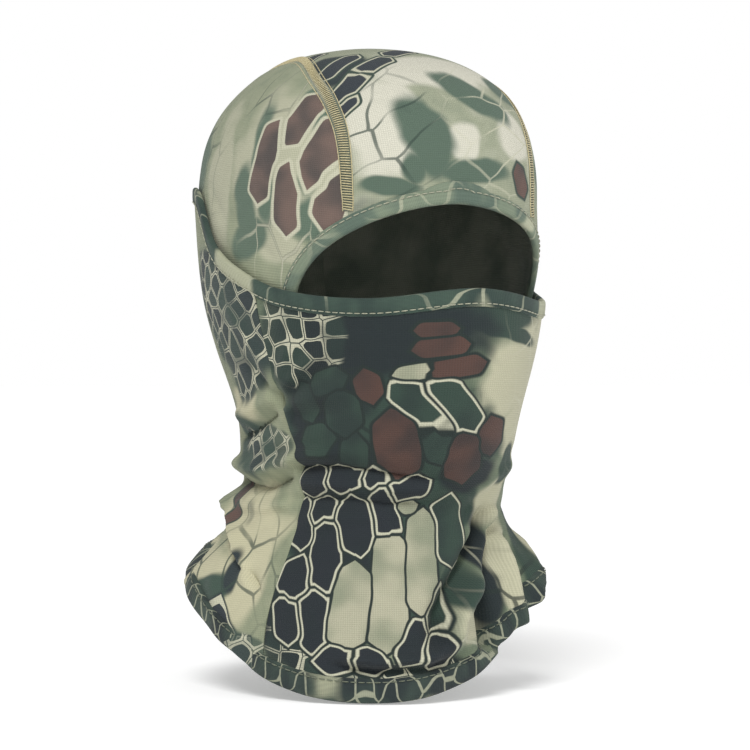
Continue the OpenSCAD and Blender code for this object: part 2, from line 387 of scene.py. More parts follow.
    def plan_of(self, angle: Number, drop: Number) -> Array:
        """Place in the hood's plan of an angle and a drop."""
        ring = np.asarray(drop, float) / self.crown_height
        ring = np.where(
            ring < 1,
            np.arccos(np.clip(1 - ring, 0, 1) ** (self.crown_power / 2)) / (math.pi / 2), ring)
        turn = np.radians(angle)
        return np.stack([ring * np.sin(turn), -ring * np.cos(turn)], axis=-1)


@dataclass(frozen=True)
class FaceOpening:
    """Outline of the hood's face opening."""

    form: HeadForm
    middle_drop: float = 131.0
    half_height: float = 50.5
    half_angle: float = 57.0
    power: float = 1.75

    def angle_and_drop(self, turn: Array, grow: Number = 0.0) -> tuple[Array, Array]:
        """Angle and drop of the outline.

        Args:
            turn: Degrees round the outline from its top.
            grow: Distance outside the outline.

        Returns:
            Angles and drops.
        """
        sine, cosine = np.sin(np.radians(turn)), np.cos(np.radians(turn))
        bend = 2 / self.power
        angle = (self.half_angle + np.asarray(grow) / 1.42) * np.sign(sine) * np.abs(sine) ** bend
        height = self.half_height + np.asarray(grow)
        drop = self.middle_drop - height * np.sign(cosine) * np.abs(cosine) ** bend
        return angle, drop

    def point(self, turn: Array, grow: Number, lift: Number) -> Array:
        """Points of the hood round the opening."""
        angle, drop = self.angle_and_drop(turn, grow)
        return self.form.hood_point(angle, drop / self.form.crown_height, lift)

    def plan(self, turn: Array) -> Array:
        """The outline in the hood's plan."""
        angle, drop = self.angle_and_drop(turn)
        ring = (drop / self.form.crown_height)[..., None]
        radians = np.radians(angle)
        return ring * np.stack([np.sin(radians), -np.cos(radians)], axis=-1)


# --------------------------------------------------------------------------
# Shaping meshes
# --------------------------------------------------------------------------


def deselect_all() -> None:
    """Leaves nothing selected."""
    if bpy.context.object and bpy.context.object.mode != "OBJECT":
        bpy.ops.object.mode_set(mode="OBJECT")
    bpy.ops.object.select_all(action="DESELECT")


def select_only(piece: bpy.types.Object) -> None:
    """Selects one object and makes it active."""
    deselect_all()
    piece.select_set(True)
    bpy.context.view_layer.objects.active = piece


def corners(piece: bpy.types.Object) -> Array:
    """Positions of a mesh's vertices, one row each."""
    flat = np.empty(len(piece.data.vertices) * 3)
    piece.data.vertices.foreach_get("co", flat)
    return flat.reshape(-1, 3)


def move_corners(piece: bpy.types.Object, points: Array) -> None:
    """Puts a mesh's vertices at points given in millimetres."""
    piece.data.vertices.foreach_set("co", (points * MM).ravel())
    piece.data.update()


def write_cloth_map(piece: bpy.types.Object, places: Array) -> None:
    """Writes the piece's UV map, in metres of flat cloth.

    Args:
        piece: The mesh object.
        places: Two millimetre coordinates for each face corner.
    """
    layers = piece.data.uv_layers
    layer = layers[0] if layers else layers.new()
    layer.name = UV_NAME
    layer.data.foreach_set("uv", (places * MM).astype(np.float32).ravel())


def loop_corners(piece: bpy.types.Object) -> Array:
    """Index of the vertex at each face corner."""
    indices = np.empty(len(piece.data.loops), dtype=np.int32)
    piece.data.loops.foreach_get("vertex_index", indices)
    return indices


def paint(piece: bpy.types.Object, face: bpy.types.Material, reverse: bpy.types.Material) -> None:
    """Gives a piece its finish, and a sheet its reverse too.

    Args:
        piece: The mesh object.
        face: Finish of the outside.
        reverse: Finish of a sheet's inside.
    """
    slots = piece.data.materials
    if slots:
        slots[0], slots[1] = face, reverse
    else:
        slots.append(face)


def smooth(piece: bpy.types.Object, angle: float = 55.0) -> None:
    """Shades a piece smooth, apart from edges sharper than an angle."""
    select_only(piece)
    bpy.ops.object.shade_smooth_by_angle(angle=math.radians(angle))


def face_outwards(piece: bpy.types.Object) -> None:
    """Merges doubles and points a closed mesh's faces outwards."""
    select_only(piece)
    bpy.ops.object.mode_set(mode="EDIT")
    bpy.ops.mesh.select_all(action="SELECT")
    bpy.ops.mesh.remove_doubles(threshold=1e-6)
    bpy.ops.mesh.normals_make_consistent(inside=False)
    bpy.ops.mesh.select_all(action="DESELECT")
    bpy.ops.object.mode_set(mode="OBJECT")


def cloth_sheet(
    name: str,
    steps: tuple[int, int],
    place: Callable[[Array, Array], Array],
    cloth: Callable[[Array, Array], Array],
    thickness: float = CLOTH,
) -> bpy.types.Object:
    """Makes a sheet of cloth with its thickness on the outside.

    Args:
        name: Name of the piece.
        steps: Faces across and down.
        place: Gives points in millimetres from shares across and down.
        cloth: Gives flat-cloth millimetres from shares across and down.
        thickness: Thickness of the cloth in millimetres.

    Returns:
        The sheet.
    """
    deselect_all()
    bpy.ops.mesh.primitive_grid_add(x_subdivisions=steps[0], y_subdivisions=steps[1], size=1.0)
    sheet = bpy.context.object
    sheet.name = sheet.data.name = name
    flat = corners(sheet)
    across, down = flat[:, 0] + 0.5, 0.5 - flat[:, 1]
    move_corners(sheet, place(across, down))
    write_cloth_map(sheet, cloth(across, down)[loop_corners(sheet)])
    # One slot for the printed face and one for the reverse, filled when the piece is dressed
    sheet.data.materials.append(None)
    sheet.data.materials.append(None)
    wall = sheet.modifiers.new("cloth thickness", "SOLIDIFY")
    wall.thickness = thickness * MM
    wall.offset = 1.0
    wall.material_offset = 1
    wall.use_quality_normals = True
    select_only(sheet)
    bpy.ops.object.modifier_apply(modifier=wall.name)
    smooth(sheet)
    return sheet


def cloth_ring(
    name: str,
    steps: tuple[int, int],
    place: Callable[[Array, Array], Array],
    cloth: Callable[[Array, Array], Array],
) -> bpy.types.Object:
    """Makes a closed ring of folded cloth, reshaped from a torus.

    Args:
        name: Name of the piece.
        steps: Faces round the ring and round its section.
        place: Gives points in millimetres from degrees round the ring and section.
        cloth: Gives flat-cloth millimetres from the same degrees.

    Returns:
        The ring.
    """
    deselect_all()
    bpy.ops.mesh.primitive_torus_add(
        major_segments=steps[0], minor_segments=steps[1], major_radius=1.0, minor_radius=0.25)
    ring = bpy.context.object
    ring.name = ring.data.name = name
    flat = corners(ring)
    turn = np.degrees(np.arctan2(flat[:, 1], flat[:, 0]))
    tilt = np.degrees(np.arctan2(flat[:, 2], np.hypot(flat[:, 0], flat[:, 1]) - 1.0))
    move_corners(ring, place(turn, tilt))
    # A face that crosses the start of the ring continues past 180 degrees
    index = loop_corners(ring)
    # The section's map starts inside the fold, where its join doesn't show
    turns, tilts = turn[index].reshape(-1, 4), (np.mod(tilt + 90.0, 360.0) - 90.0)[index].reshape(-1, 4)
    turns = turns + 360.0 * (turns < turns.max(axis=1, keepdims=True) - 180.0)
    tilts = tilts + 360.0 * (tilts < tilts.max(axis=1, keepdims=True) - 180.0)
    write_cloth_map(ring, cloth(turns.ravel(), tilts.ravel()))
    face_outwards(ring)
    smooth(ring, 80.0)
    return ring


@dataclass(frozen=True)
class Frames:
    """Places for stitches: where, which way the row runs and which way is out."""

    points: Array
    along: Array
    out: Array

    def side(self) -> Array:
        """Direction across the row of stitches."""
        return unit_rows(np.cross(self.out, self.along))


@dataclass(frozen=True)
class StitchRow:
    """A line on the cloth that stitches follow."""

    place: Callable[[Array, Number], Array]
    start: float
    end: float
    closed: bool = False

    def spaced(self, pitch: float, lift: float) -> Frames:
        """Evenly spaced frames along the row.

        Args:
            pitch: Distance between stitches in millimetres.
            lift: Height of the frames above the row's surface.

        Returns:
            The frames.
        """
        fine = np.linspace(self.start, self.end, 2400)
        path = self.place(fine, lift)
        run = np.concatenate([[0.0], np.cumsum(np.linalg.norm(np.diff(path, axis=0), axis=1))])
        count = max(2, int(round(run[-1] / pitch)))
        share = (np.arange(count) + 0.5) / count
        where = np.interp((share % 1.0 if self.closed else share) * run[-1], run, fine)
        step = (self.end - self.start) / 2400
        points = self.place(where, lift)
        along = unit_rows(self.place(where + step, lift) - self.place(where - step, lift))
        out = self.place(where, lift + 0.6) - points
        out = unit_rows(out - along * np.sum(out * along, axis=1, keepdims=True))
        return Frames(points, along, out)


@dataclass(frozen=True)
class Stitch:
    """One bent length of thread, with its ends sunk into the cloth."""

    length: float
    thickness: float
    rise: float
    across: bool = False
    slant: float = 0.0
    sides: int = 6
    rings: int = 7

    def model(self, name: str) -> bpy.types.Object:
        """Models the stitch along X, with Z outwards, at the origin."""
        deselect_all()
        bpy.ops.mesh.primitive_uv_sphere_add(segments=self.sides, ring_count=self.rings, radius=1.0)
        stitch = bpy.context.object
        stitch.name = stitch.data.name = name
        ball = corners(stitch)
        along = ball[:, 2]
        fullness = np.sqrt(np.hypot(ball[:, 0], ball[:, 1]))
        turn = np.arctan2(ball[:, 1], ball[:, 0])
        half = self.thickness / 2
        shaped = np.stack([
            along * self.length / 2,
            half * fullness * np.cos(turn),
            half * fullness * np.sin(turn) + self.rise * (1 - np.abs(along) ** 2.4) - self.rise], axis=1)
        move_corners(stitch, shaped)
        face_outwards(stitch)
        return stitch

    def sewn(self, name: str, frames: Frames) -> bpy.types.Object:
        """Copies the stitch to every frame and joins the copies.

        Args:
            name: Name of the finished piece.
            frames: Where the stitches go.

        Returns:
            The row of stitches.
        """
        first = self.model(name)
        shape = corners(first) / MM
        side = frames.side()
        lead, cross = (side, -frames.along) if self.across else (frames.along, side)
        lean = math.tan(math.radians(self.slant))
        lead = unit_rows(lead + lean * cross)
        cross = unit_rows(np.cross(frames.out, lead))
        copies = []
        for centre, x, y, z in zip(frames.points, lead, cross, frames.out):
            copy = first.copy()
            copy.data = first.data.copy()
            bpy.context.collection.objects.link(copy)
            placed = centre + shape[:, :1] * x + shape[:, 1:2] * y + (shape[:, 2:] + self.rise) * z
            move_corners(copy, placed)
            copies.append(copy)
        deselect_all()
        for copy in copies:
            copy.select_set(True)
        bpy.context.view_layer.objects.active = copies[0]
        bpy.ops.object.join()
        row = bpy.context.object
        bpy.data.objects.remove(first)
        row.name = row.data.name = name
        smooth(row, 80.0)
        return row


# The overlocked seams inside: one slanting thread, and the distance between threads
OVERLOCK = Stitch(4.6, 0.5, 0.2, across=True, slant=14.0, rings=5)
OVERLOCK_PITCH = 2.6


# --------------------------------------------------------------------------
# Materials
# --------------------------------------------------------------------------


def shade(red: int, green: int, blue: int) -> tuple[float, float, float, float]:
    """Scene colour of a dye given as three numbers from 0 to 255."""
    def light(level: int) -> float:
        """Linear light of one channel."""
        share = level / 255.0
        return share / 12.92 if share <= 0.04045 else ((share + 0.055) / 1.055) ** 2.4
    return (light(red), light(green), light(blue), 1.0)


class Graph:
    """Builds the nodes of one material."""

    def __init__(self, name: str) -> None:
        """Starts an empty material.

        Args:
            name: Name of the material.
        """
        self.material = bpy.data.materials.new(name)
        self.material.use_nodes = True
        self.tree = self.material.node_tree
        self.tree.nodes.clear()

    def node(self, kind: str, **settings: object) -> bpy.types.Node:
        """Adds a node and sets its properties."""
        node = self.tree.nodes.new(kind)
        for key, value in settings.items():
            setattr(node, key, value)
        return node

    def feed(self, target: bpy.types.NodeSocket, value: Socket) -> None:
        """Links a socket, or sets its value."""
        if isinstance(value, bpy.types.NodeSocket):
            self.tree.links.new(value, target)
        else:
            target.default_value = value

    def math(self, operation: str, *values: Socket) -> bpy.types.NodeSocket:
        """Adds a Math node and returns its result."""
        node = self.node("ShaderNodeMath", operation=operation)
        for socket, value in zip(node.inputs, values):
            self.feed(socket, value)
        return node.outputs[0]

    def vector(self, operation: str, *values: Socket) -> bpy.types.NodeSocket:
        """Adds a Vector Math node and returns its result."""
        node = self.node("ShaderNodeVectorMath", operation=operation)
        for socket, value in zip(node.inputs, values):
            self.feed(socket, value)
        return node.outputs["Value"] if operation in ("LENGTH", "DOT_PRODUCT") else node.outputs[0]

    def scaled(self, vector: Socket, factor: float) -> bpy.types.NodeSocket:
        """Multiplies a vector by a number."""
        return self.vector("MULTIPLY", vector, (factor, factor, factor))

    def mix(self, share: Socket, first: Socket, second: Socket) -> bpy.types.NodeSocket:
        """Mixes two colours and returns the result."""
        node = self.node("ShaderNodeMix", data_type="RGBA")
        self.feed(node.inputs["Factor"], share)
        self.feed(node.inputs["A"], first)
        self.feed(node.inputs["B"], second)
        return node.outputs["Result"]

    def ramp(self, value: Socket, low: float, high: float,
             start: float = 0.0, end: float = 1.0) -> bpy.types.NodeSocket:
        """Smooth step of a value between two levels.

        Args:
            value: The value.
            low: Level that gives the start.
            high: Level that gives the end.
            start: Result at the low level.
            end: Result at the high level.

        Returns:
            The stepped value.
        """
        node = self.node("ShaderNodeMapRange", interpolation_type="SMOOTHSTEP")
        for socket, number in zip(node.inputs, (value, low, high, start, end)):
            self.feed(socket, number)
        return node.outputs["Result"]

    def mapping(self, vector: Socket, place: Pair = (0, 0), turn: float = 0.0,
                size: Pair = (1, 1), inverse: bool = True) -> bpy.types.NodeSocket:
        """Turns and scales flat-cloth coordinates.

        Args:
            vector: The coordinates.
            place: Centre in metres.
            turn: Turn in degrees.
            size: Size of one unit in metres.
            inverse: True to go from cloth to units, False to come back.

        Returns:
            The mapped coordinates.
        """
        node = self.node("ShaderNodeMapping", vector_type="TEXTURE" if inverse else "POINT")
        self.feed(node.inputs["Vector"], vector)
        node.inputs["Location"].default_value = (place[0], place[1], 0.0)
        node.inputs["Rotation"].default_value = (0.0, 0.0, math.radians(turn))
        node.inputs["Scale"].default_value = (size[0], size[1], 1.0)
        return node.outputs[0]

    def noise(self, vector: Socket, scale: float, detail: float = 2.0,
              colour: bool = False) -> bpy.types.NodeSocket:
        """Adds a Noise texture and returns its value or colour."""
        node = self.node("ShaderNodeTexNoise", noise_dimensions="3D")
        self.feed(node.inputs["Vector"], vector)
        node.inputs["Scale"].default_value = scale
        node.inputs["Detail"].default_value = detail
        return node.outputs["Color" if colour else "Fac"]

    def cells(self, vector: Socket, feature: str, randomness: float) -> bpy.types.Node:
        """Adds a flat Voronoi texture of unit cells."""
        node = self.node("ShaderNodeTexVoronoi", voronoi_dimensions="2D", feature=feature)
        self.feed(node.inputs["Vector"], vector)
        node.inputs["Scale"].default_value = 1.0
        node.inputs["Randomness"].default_value = randomness
        return node

    def cloth(self) -> bpy.types.NodeSocket:
        """Flat-cloth coordinates in metres."""
        return self.node("ShaderNodeUVMap", uv_map=UV_NAME).outputs["UV"]

    def place(self) -> bpy.types.NodeSocket:
        """Object coordinates in metres."""
        return self.node("ShaderNodeTexCoord").outputs["Object"]

    def finish(self, colour: Socket, roughness: float, height: Optional[Socket] = None,
               depth: float = 0.0001, sheen: float = 0.0) -> bpy.types.Material:
        """Adds the surface shader and output.

        Args:
            colour: Surface colour.
            roughness: Roughness all over.
            height: Bump height from 0 to 1.
            depth: Height of the bump in metres.
            sheen: Sheen weight.

        Returns:
            The finished material.
        """
        shader = self.node("ShaderNodeBsdfPrincipled")
        self.feed(shader.inputs["Base Color"], colour)
        shader.inputs["Roughness"].default_value = roughness
        shader.inputs["Specular IOR Level"].default_value = 0.25
        shader.inputs["Sheen Weight"].default_value = sheen
        shader.inputs["Sheen Roughness"].default_value = 0.5
        if height is not None:
            bump = self.node("ShaderNodeBump")
            bump.inputs["Strength"].default_value = 1.0
            bump.inputs["Distance"].default_value = depth
            self.feed(bump.inputs["Height"], height)
            self.feed(shader.inputs["Normal"], bump.outputs["Normal"])
        output = self.node("ShaderNodeOutputMaterial")
        self.feed(output.inputs["Surface"], shader.outputs["BSDF"])
        return self.material


class Tone(Enum):
    """What a patch of the print does to the cloth."""

    DARK = "blurred dark green ground"
    DEEP = "blurred blue-black ground"
    LIGHT = "blurred cream ground"
    LINED = "cells drawn in dark outline"
    TRACED = "cells drawn in pale outline"
    NAVY = "cells filled blue-black and rimmed with cream"
    CREAM = "cells filled cream with dark outlines"
    FINE = "small cells drawn in thin cream lines"
    BROWN = "one long cell filled brown, in a pale rim"
    RUST = "one long cell filled brown, in a dark rim"
    SCALE = "one long cell filled cream, in a dark rim"
    SLATE = "one long cell filled grey-green, in a pale rim"
    INK = "one long cell filled blue-black, in a cream rim with a dark border"
    SHADE = "one long cell filled dark green, in a blackish rim"


@dataclass(frozen=True)
class Patch:
    """An oval patch of the print, placed on the worn shape."""

    tone: Tone
    angle: float
    drop: float
    across: float
    down: float
    turn: float = 0.0
    soft: float = 0.5


@dataclass(frozen=True)
class Knit:
    """Fine diagonal mesh of the knitted cloth."""

    pitch: float = 1.45

    def height(self, graph: Graph, cloth: Socket) -> bpy.types.NodeSocket:
        """Height of the knit from 0 to 1.

        Args:
            graph: The material's nodes.
            cloth: Flat-cloth coordinates.

        Returns:
            The height.
        """
        split = graph.node("ShaderNodeSeparateXYZ")
        graph.feed(split.inputs[0], cloth)
        rate = 2 * math.pi / (self.pitch * MM)
        waves = []
        for operation in ("ADD", "SUBTRACT"):
            diagonal = graph.math(operation, split.outputs[0], split.outputs[1])
            waves.append(graph.math("SINE", graph.math("MULTIPLY", diagonal, rate * 0.7071)))
        return graph.ramp(graph.math("MULTIPLY", *waves), -0.75, 0.75)


@dataclass(frozen=True)
class CellStyle:
    """Dyes of a single cell, by the print's own names, and widths in millimetres."""

    fill: str
    shading: str
    rim: float = 0.0
    edge: float = 0.3
    border: float = 0.0


# Half the width of the dark line between two neighbouring cells, in millimetres
LINE_HALF = 0.6
# Slope of a cell's pointed ends, across and along it, how far the points are cut
# back for each millimetre of width, and how softly they meet its sides
POINT_SLOPE = (0.6, 0.8)
POINT_CUT = 0.32
POINT_ROUNDING = 2.4
# Distance further than any cell, in millimetres
FAR = 1000.0
LONG_CELLS: dict[Tone, CellStyle] = {
    Tone.BROWN: CellStyle("brown", "deep", rim=1.7, edge=0.6),
    Tone.RUST: CellStyle("brown", "deep", edge=0.7, border=1.5),
    Tone.SCALE: CellStyle("cream", "ground", border=1.3),
    Tone.SLATE: CellStyle("dark", "deep", rim=1.0, edge=0.4, border=2.0),
    Tone.INK: CellStyle("navy", "deep", rim=0.95, border=2.2),
    Tone.SHADE: CellStyle("dark", "deep", edge=0.5, border=1.4),
}


@dataclass(frozen=True)
class CamoPrint:
    """Printed reptile-cell camouflage on knitted cloth, one cut panel of it."""

    name: str
    spot: Callable[[float, float], Pair]
    patches: tuple[Patch, ...] = ()
    ground: tuple = shade(128, 138, 112)
    dark: tuple = shade(62, 80, 70)
    deep: tuple = shade(44, 54, 56)
    light: tuple = shade(176, 176, 152)
    cream_line: tuple = shade(190, 189, 166)
    dark_line: tuple = shade(52, 68, 60)
    navy: tuple = shade(50, 56, 62)
    brown: tuple = shade(98, 76, 68)
    cream: tuple = shade(174, 174, 150)
    cell: Pair = (20.0, 27.0)
    turn: float = 0.0
    randomness: float = 0.72
    roundness: float = 0.7
    fine_cell: float = 10.5
    shift: Pair = (0.0, 0.0)
    warp: float = 10.0
    knit: Knit = Knit()

    def of(self, tone: Tone) -> list[Patch]:
        """The print's patches of one tone."""
        return [patch for patch in self.patches if patch.tone is tone]

    def local(self, graph: Graph, patch: Patch, where: Socket) -> bpy.types.NodeSocket:
        """Coordinates in a patch, 1 at its edge."""
        centre = self.spot(patch.angle, patch.drop)
        return graph.mapping(where, (centre[0] * MM, centre[1] * MM), patch.turn,
                             (patch.across * MM, patch.down * MM))

    def region(self, graph: Graph, tone: Tone, where: Socket) -> Optional[bpy.types.NodeSocket]:
        """Strength of a tone's oval patches at a place.

        Args:
            graph: The material's nodes.
            tone: Which patches.
            where: Flat-cloth coordinates.

        Returns:
            0 outside the patches and 1 inside, or None where there are none.
        """
        total = None
        for patch in self.of(tone):
            reach = graph.vector("LENGTH", self.local(graph, patch, where))
            inside = graph.ramp(reach, 1 + patch.soft, 1 - patch.soft)
            total = inside if total is None else graph.math("MAXIMUM", total, inside)
        return total

    def long_cell(self, graph: Graph, patch: Patch, where: Socket) -> bpy.types.NodeSocket:
        """Distance outside a single cell with pointed ends, in millimetres.

        Args:
            graph: The material's nodes.
            patch: The cell.
            where: Flat-cloth coordinates.

        Returns:
            The distance, negative inside the cell.
        """
        centre = self.spot(patch.angle, patch.drop)
        short, long = sorted((patch.across, patch.down))
        turn = math.radians(patch.turn + (90 if patch.across > patch.down else 0))
        aside = []
        for run in ((math.cos(turn), math.sin(turn)), (-math.sin(turn), math.cos(turn))):
            reach = graph.vector("DOT_PRODUCT", where, (run[0] / MM, run[1] / MM, 0.0))
            start = run[0] * centre[0] + run[1] * centre[1]
            aside.append(graph.math("ABSOLUTE", graph.math("SUBTRACT", reach, start)))
        flank = graph.math("SUBTRACT", aside[0], short)
        rise = graph.math("MULTIPLY_ADD", aside[1], POINT_SLOPE[1], POINT_CUT * short - POINT_SLOPE[1] * long)
        point = graph.math("MULTIPLY_ADD", flank, POINT_SLOPE[0], rise)
        return graph.math("SMOOTH_MAX", flank, point, POINT_ROUNDING)

    def with_long_cells(self, graph: Graph, where: Socket, colour: Socket, vary: Socket) -> Socket:
        """Draws the single cells; neighbours share a dark line half way between them.

        Args:
            graph: The material's nodes.
            where: Flat-cloth coordinates.
            colour: Colour of the cloth under the cells.
            vary: Share of the shading in a cell's fill.

        Returns:
            The colour with the cells.
        """
        nearest: dict[Tone, Socket] = {}
        best: Socket = FAR
        second: Socket = FAR
        for patch in self.patches:
            if patch.tone in LONG_CELLS:
                outside = self.long_cell(graph, patch, where)
                nearest[patch.tone] = graph.math("MINIMUM", nearest.get(patch.tone, FAR), outside)
                second = graph.math("MINIMUM", second, graph.math("MAXIMUM", best, outside))
                best = graph.math("MINIMUM", best, outside)
        crowding = graph.math("MULTIPLY", graph.math("SUBTRACT", best, second), 0.5)
        for tone, own in nearest.items():
            style = LONG_CELLS[tone]
            mine = graph.math("LESS_THAN", own, graph.math("ADD", best, 0.0001))
            line = style.rim + LINE_HALF
            reach = graph.math("MAXIMUM", best, graph.math("ADD", crowding, line))
            fill = graph.mix(vary, getattr(self, style.fill), getattr(self, style.shading))
            for limit, edge, dye in ((style.border, style.edge, self.dark_line),
                                     (style.rim, style.edge, self.cream_line), (0.0, 0.25, fill)):
                if limit or dye is fill:
                    inside = graph.ramp(reach, limit + edge, limit - edge)
                    colour = graph.mix(graph.math("MULTIPLY", inside, mine), colour, dye)
        return colour

    def cell_depth(self, graph: Graph, grid: Socket, size: float, randomness: float) -> tuple:
        """Depth inside the cells of the repeat.

        Args:
            graph: The material's nodes.
            grid: Coordinates in cells.
            size: Mean size of a cell in millimetres.
            randomness: How irregular the cells are.

        Returns:
            Depth from the cell's border in millimetres, the same with its corners
            rounded, and the node that gives the cell.
        """
        own = graph.cells(grid, "F1", randomness)
        edge = graph.cells(grid, "DISTANCE_TO_EDGE", randomness).outputs["Distance"]
        corner = graph.math("MAXIMUM", graph.math("SUBTRACT", own.outputs["Distance"], 0.48), 0.0)
        rounded = graph.math("SUBTRACT", edge, graph.math("MULTIPLY", corner, self.roundness))
        return graph.math("MULTIPLY", edge, size), graph.math("MULTIPLY", rounded, size), own

    def made(self) -> bpy.types.Material:
        """Builds the printed cloth's material."""
        graph = Graph(self.name)
        cloth = graph.cloth()
        shift = (self.shift[0] * MM, self.shift[1] * MM, 0.0)
        flat = graph.vector("ADD", cloth, shift)
        wander = graph.vector("SUBTRACT", graph.noise(flat, 38.0, 1.5, colour=True), (0.5, 0.5, 0.5))
        push = graph.vector("MULTIPLY", wander, (self.warp * MM, self.warp * MM, 0.0))
        warped = graph.vector("ADD", cloth, push)
        calm = graph.vector("ADD", cloth, graph.scaled(push, 0.5))

        # Blurred ground, with soft-edged light, dark and deep areas
        blur = graph.math("MULTIPLY_ADD", graph.noise(flat, 34.0, 2.0), 1.7, -0.85)
        wash = graph.noise(flat, 80.0, 3.0)
        colour: Socket = graph.mix(graph.ramp(wash, 0.45, 0.8, 0.0, 0.22), self.ground, self.light)
        colour = graph.mix(graph.ramp(wash, 0.52, 0.22, 0.0, 0.25), colour, self.dark)
        for tone, dye in ((Tone.LIGHT, self.light), (Tone.DARK, self.dark), (Tone.DEEP, self.deep)):
            found = self.region(graph, tone, warped)
            if found is not None:
                share = graph.ramp(graph.math("ADD", found, blur), 0.22, 0.78)
                colour = graph.mix(share, colour, dye)

        # Large cells of the repeat
        size = (self.cell[0] * MM, self.cell[1] * MM)
        placed = graph.vector("ADD", warped, shift)
        grid = graph.mapping(placed, (0, 0), self.turn, size)
        border, inset, own = self.cell_depth(graph, grid, (self.cell[0] + self.cell[1]) / 2, self.randomness)
        centre = graph.mapping(own.outputs["Position"], (0, 0), self.turn, size, inverse=False)
        centre = graph.vector("SUBTRACT", centre, shift)
        vary = graph.ramp(graph.noise(flat, 48.0, 1.5), 0.36, 0.68, 0.0, 0.6)
        fade = graph.ramp(graph.noise(flat, 46.0, 1.0), 0.32, 0.56, 0.25, 1.0)
        for tone, dye, width, strength in (
                (Tone.LINED, self.dark_line, 0.75, 0.8), (Tone.TRACED, self.cream_line, 0.55, 0.75)):
            area = self.region(graph, tone, warped)
            if area is not None:
                line = graph.ramp(border, width + 0.35, width - 0.3)
                line = graph.math("MULTIPLY", graph.math("MULTIPLY", line, area), fade)
                colour = graph.mix(graph.math("MULTIPLY", line, strength), colour, dye)
        creamy = self.region(graph, Tone.CREAM, centre)
        if creamy is not None:
            pick = graph.math("GREATER_THAN", creamy, 0.5)
            colour = graph.mix(pick, colour, self.dark_line)
            body = graph.math("MULTIPLY", pick, graph.ramp(border, 0.7, 1.1))
            colour = graph.mix(body, colour, graph.mix(vary, self.cream, self.ground))
        navy = self.region(graph, Tone.NAVY, centre)
        if navy is not None:
            pick = graph.math("GREATER_THAN", navy, 0.5)
            colour = graph.mix(pick, colour, self.deep)
            rim = graph.math("MULTIPLY", pick, graph.ramp(border, 0.6, 0.9))
            colour = graph.mix(rim, colour, self.cream_line)
            body = graph.math("MULTIPLY", pick, graph.ramp(inset, 1.6, 1.9))
            colour = graph.mix(body, colour, graph.mix(vary, self.navy, self.deep))

        # Small cells in thin pale lines
        fine = self.region(graph, Tone.FINE, warped)
        if fine is not None:
            small = graph.mapping(placed, (0, 0), self.turn + 12,
                              (self.fine_cell * MM * 1.1, self.fine_cell * MM))
            thin, thin_inset, small_own = self.cell_depth(graph, small, self.fine_cell * 1.05, 0.6)
            split = graph.node("ShaderNodeSeparateColor")
            graph.feed(split.inputs[0], small_own.outputs["Color"])
            area = graph.ramp(graph.math("ADD", fine, blur), 0.3, 0.6)
            colour = graph.mix(graph.math("MULTIPLY", area, 0.8), colour,
                               graph.mix(split.outputs[0], self.deep, self.dark))
            rim = graph.math("MULTIPLY", graph.ramp(thin, 0.15, 0.35), graph.ramp(thin_inset, 0.95, 0.7))
            rim = graph.math("MULTIPLY", graph.math("MULTIPLY", rim, area), fade)
            colour = graph.mix(rim, colour, self.cream_line)

        colour = self.with_long_cells(graph, calm, colour, vary)
        height = self.knit.height(graph, cloth)
        # Painted shade in the knit's hollows: the colour darkens towards near black where the knit's bump is
        # low
        colour = graph.mix(graph.ramp(height, 0.0, 1.0, 0.16, 0.0), colour, (0.03, 0.035, 0.035, 1.0))
        return graph.finish(colour, 0.78, height, 0.00014, 0.08)


@dataclass(frozen=True)
class ClothReverse:
    """Unprinted inside of the cloth, where the dyes show through faintly."""

    name: str = "cloth_reverse"
    pale: tuple = shade(134, 138, 124)
    shadow: tuple = shade(96, 106, 94)

    def made(self) -> bpy.types.Material:
        """Builds the material."""
        graph = Graph(self.name)
        cloth = graph.cloth()
        patchy = graph.ramp(graph.noise(cloth, 28.0, 3.0), 0.35, 0.65)
        height = Knit(1.45).height(graph, cloth)
        colour = graph.mix(patchy, self.pale, self.shadow)
        # Painted shade in the knit's hollows: the colour darkens towards near black where the knit's bump is
        # low
        colour = graph.mix(graph.ramp(height, 0.0, 1.0, 0.18, 0.0), colour, (0.05, 0.05, 0.05, 1.0))
        return graph.finish(colour, 0.85, height, 0.00012, 0.15)


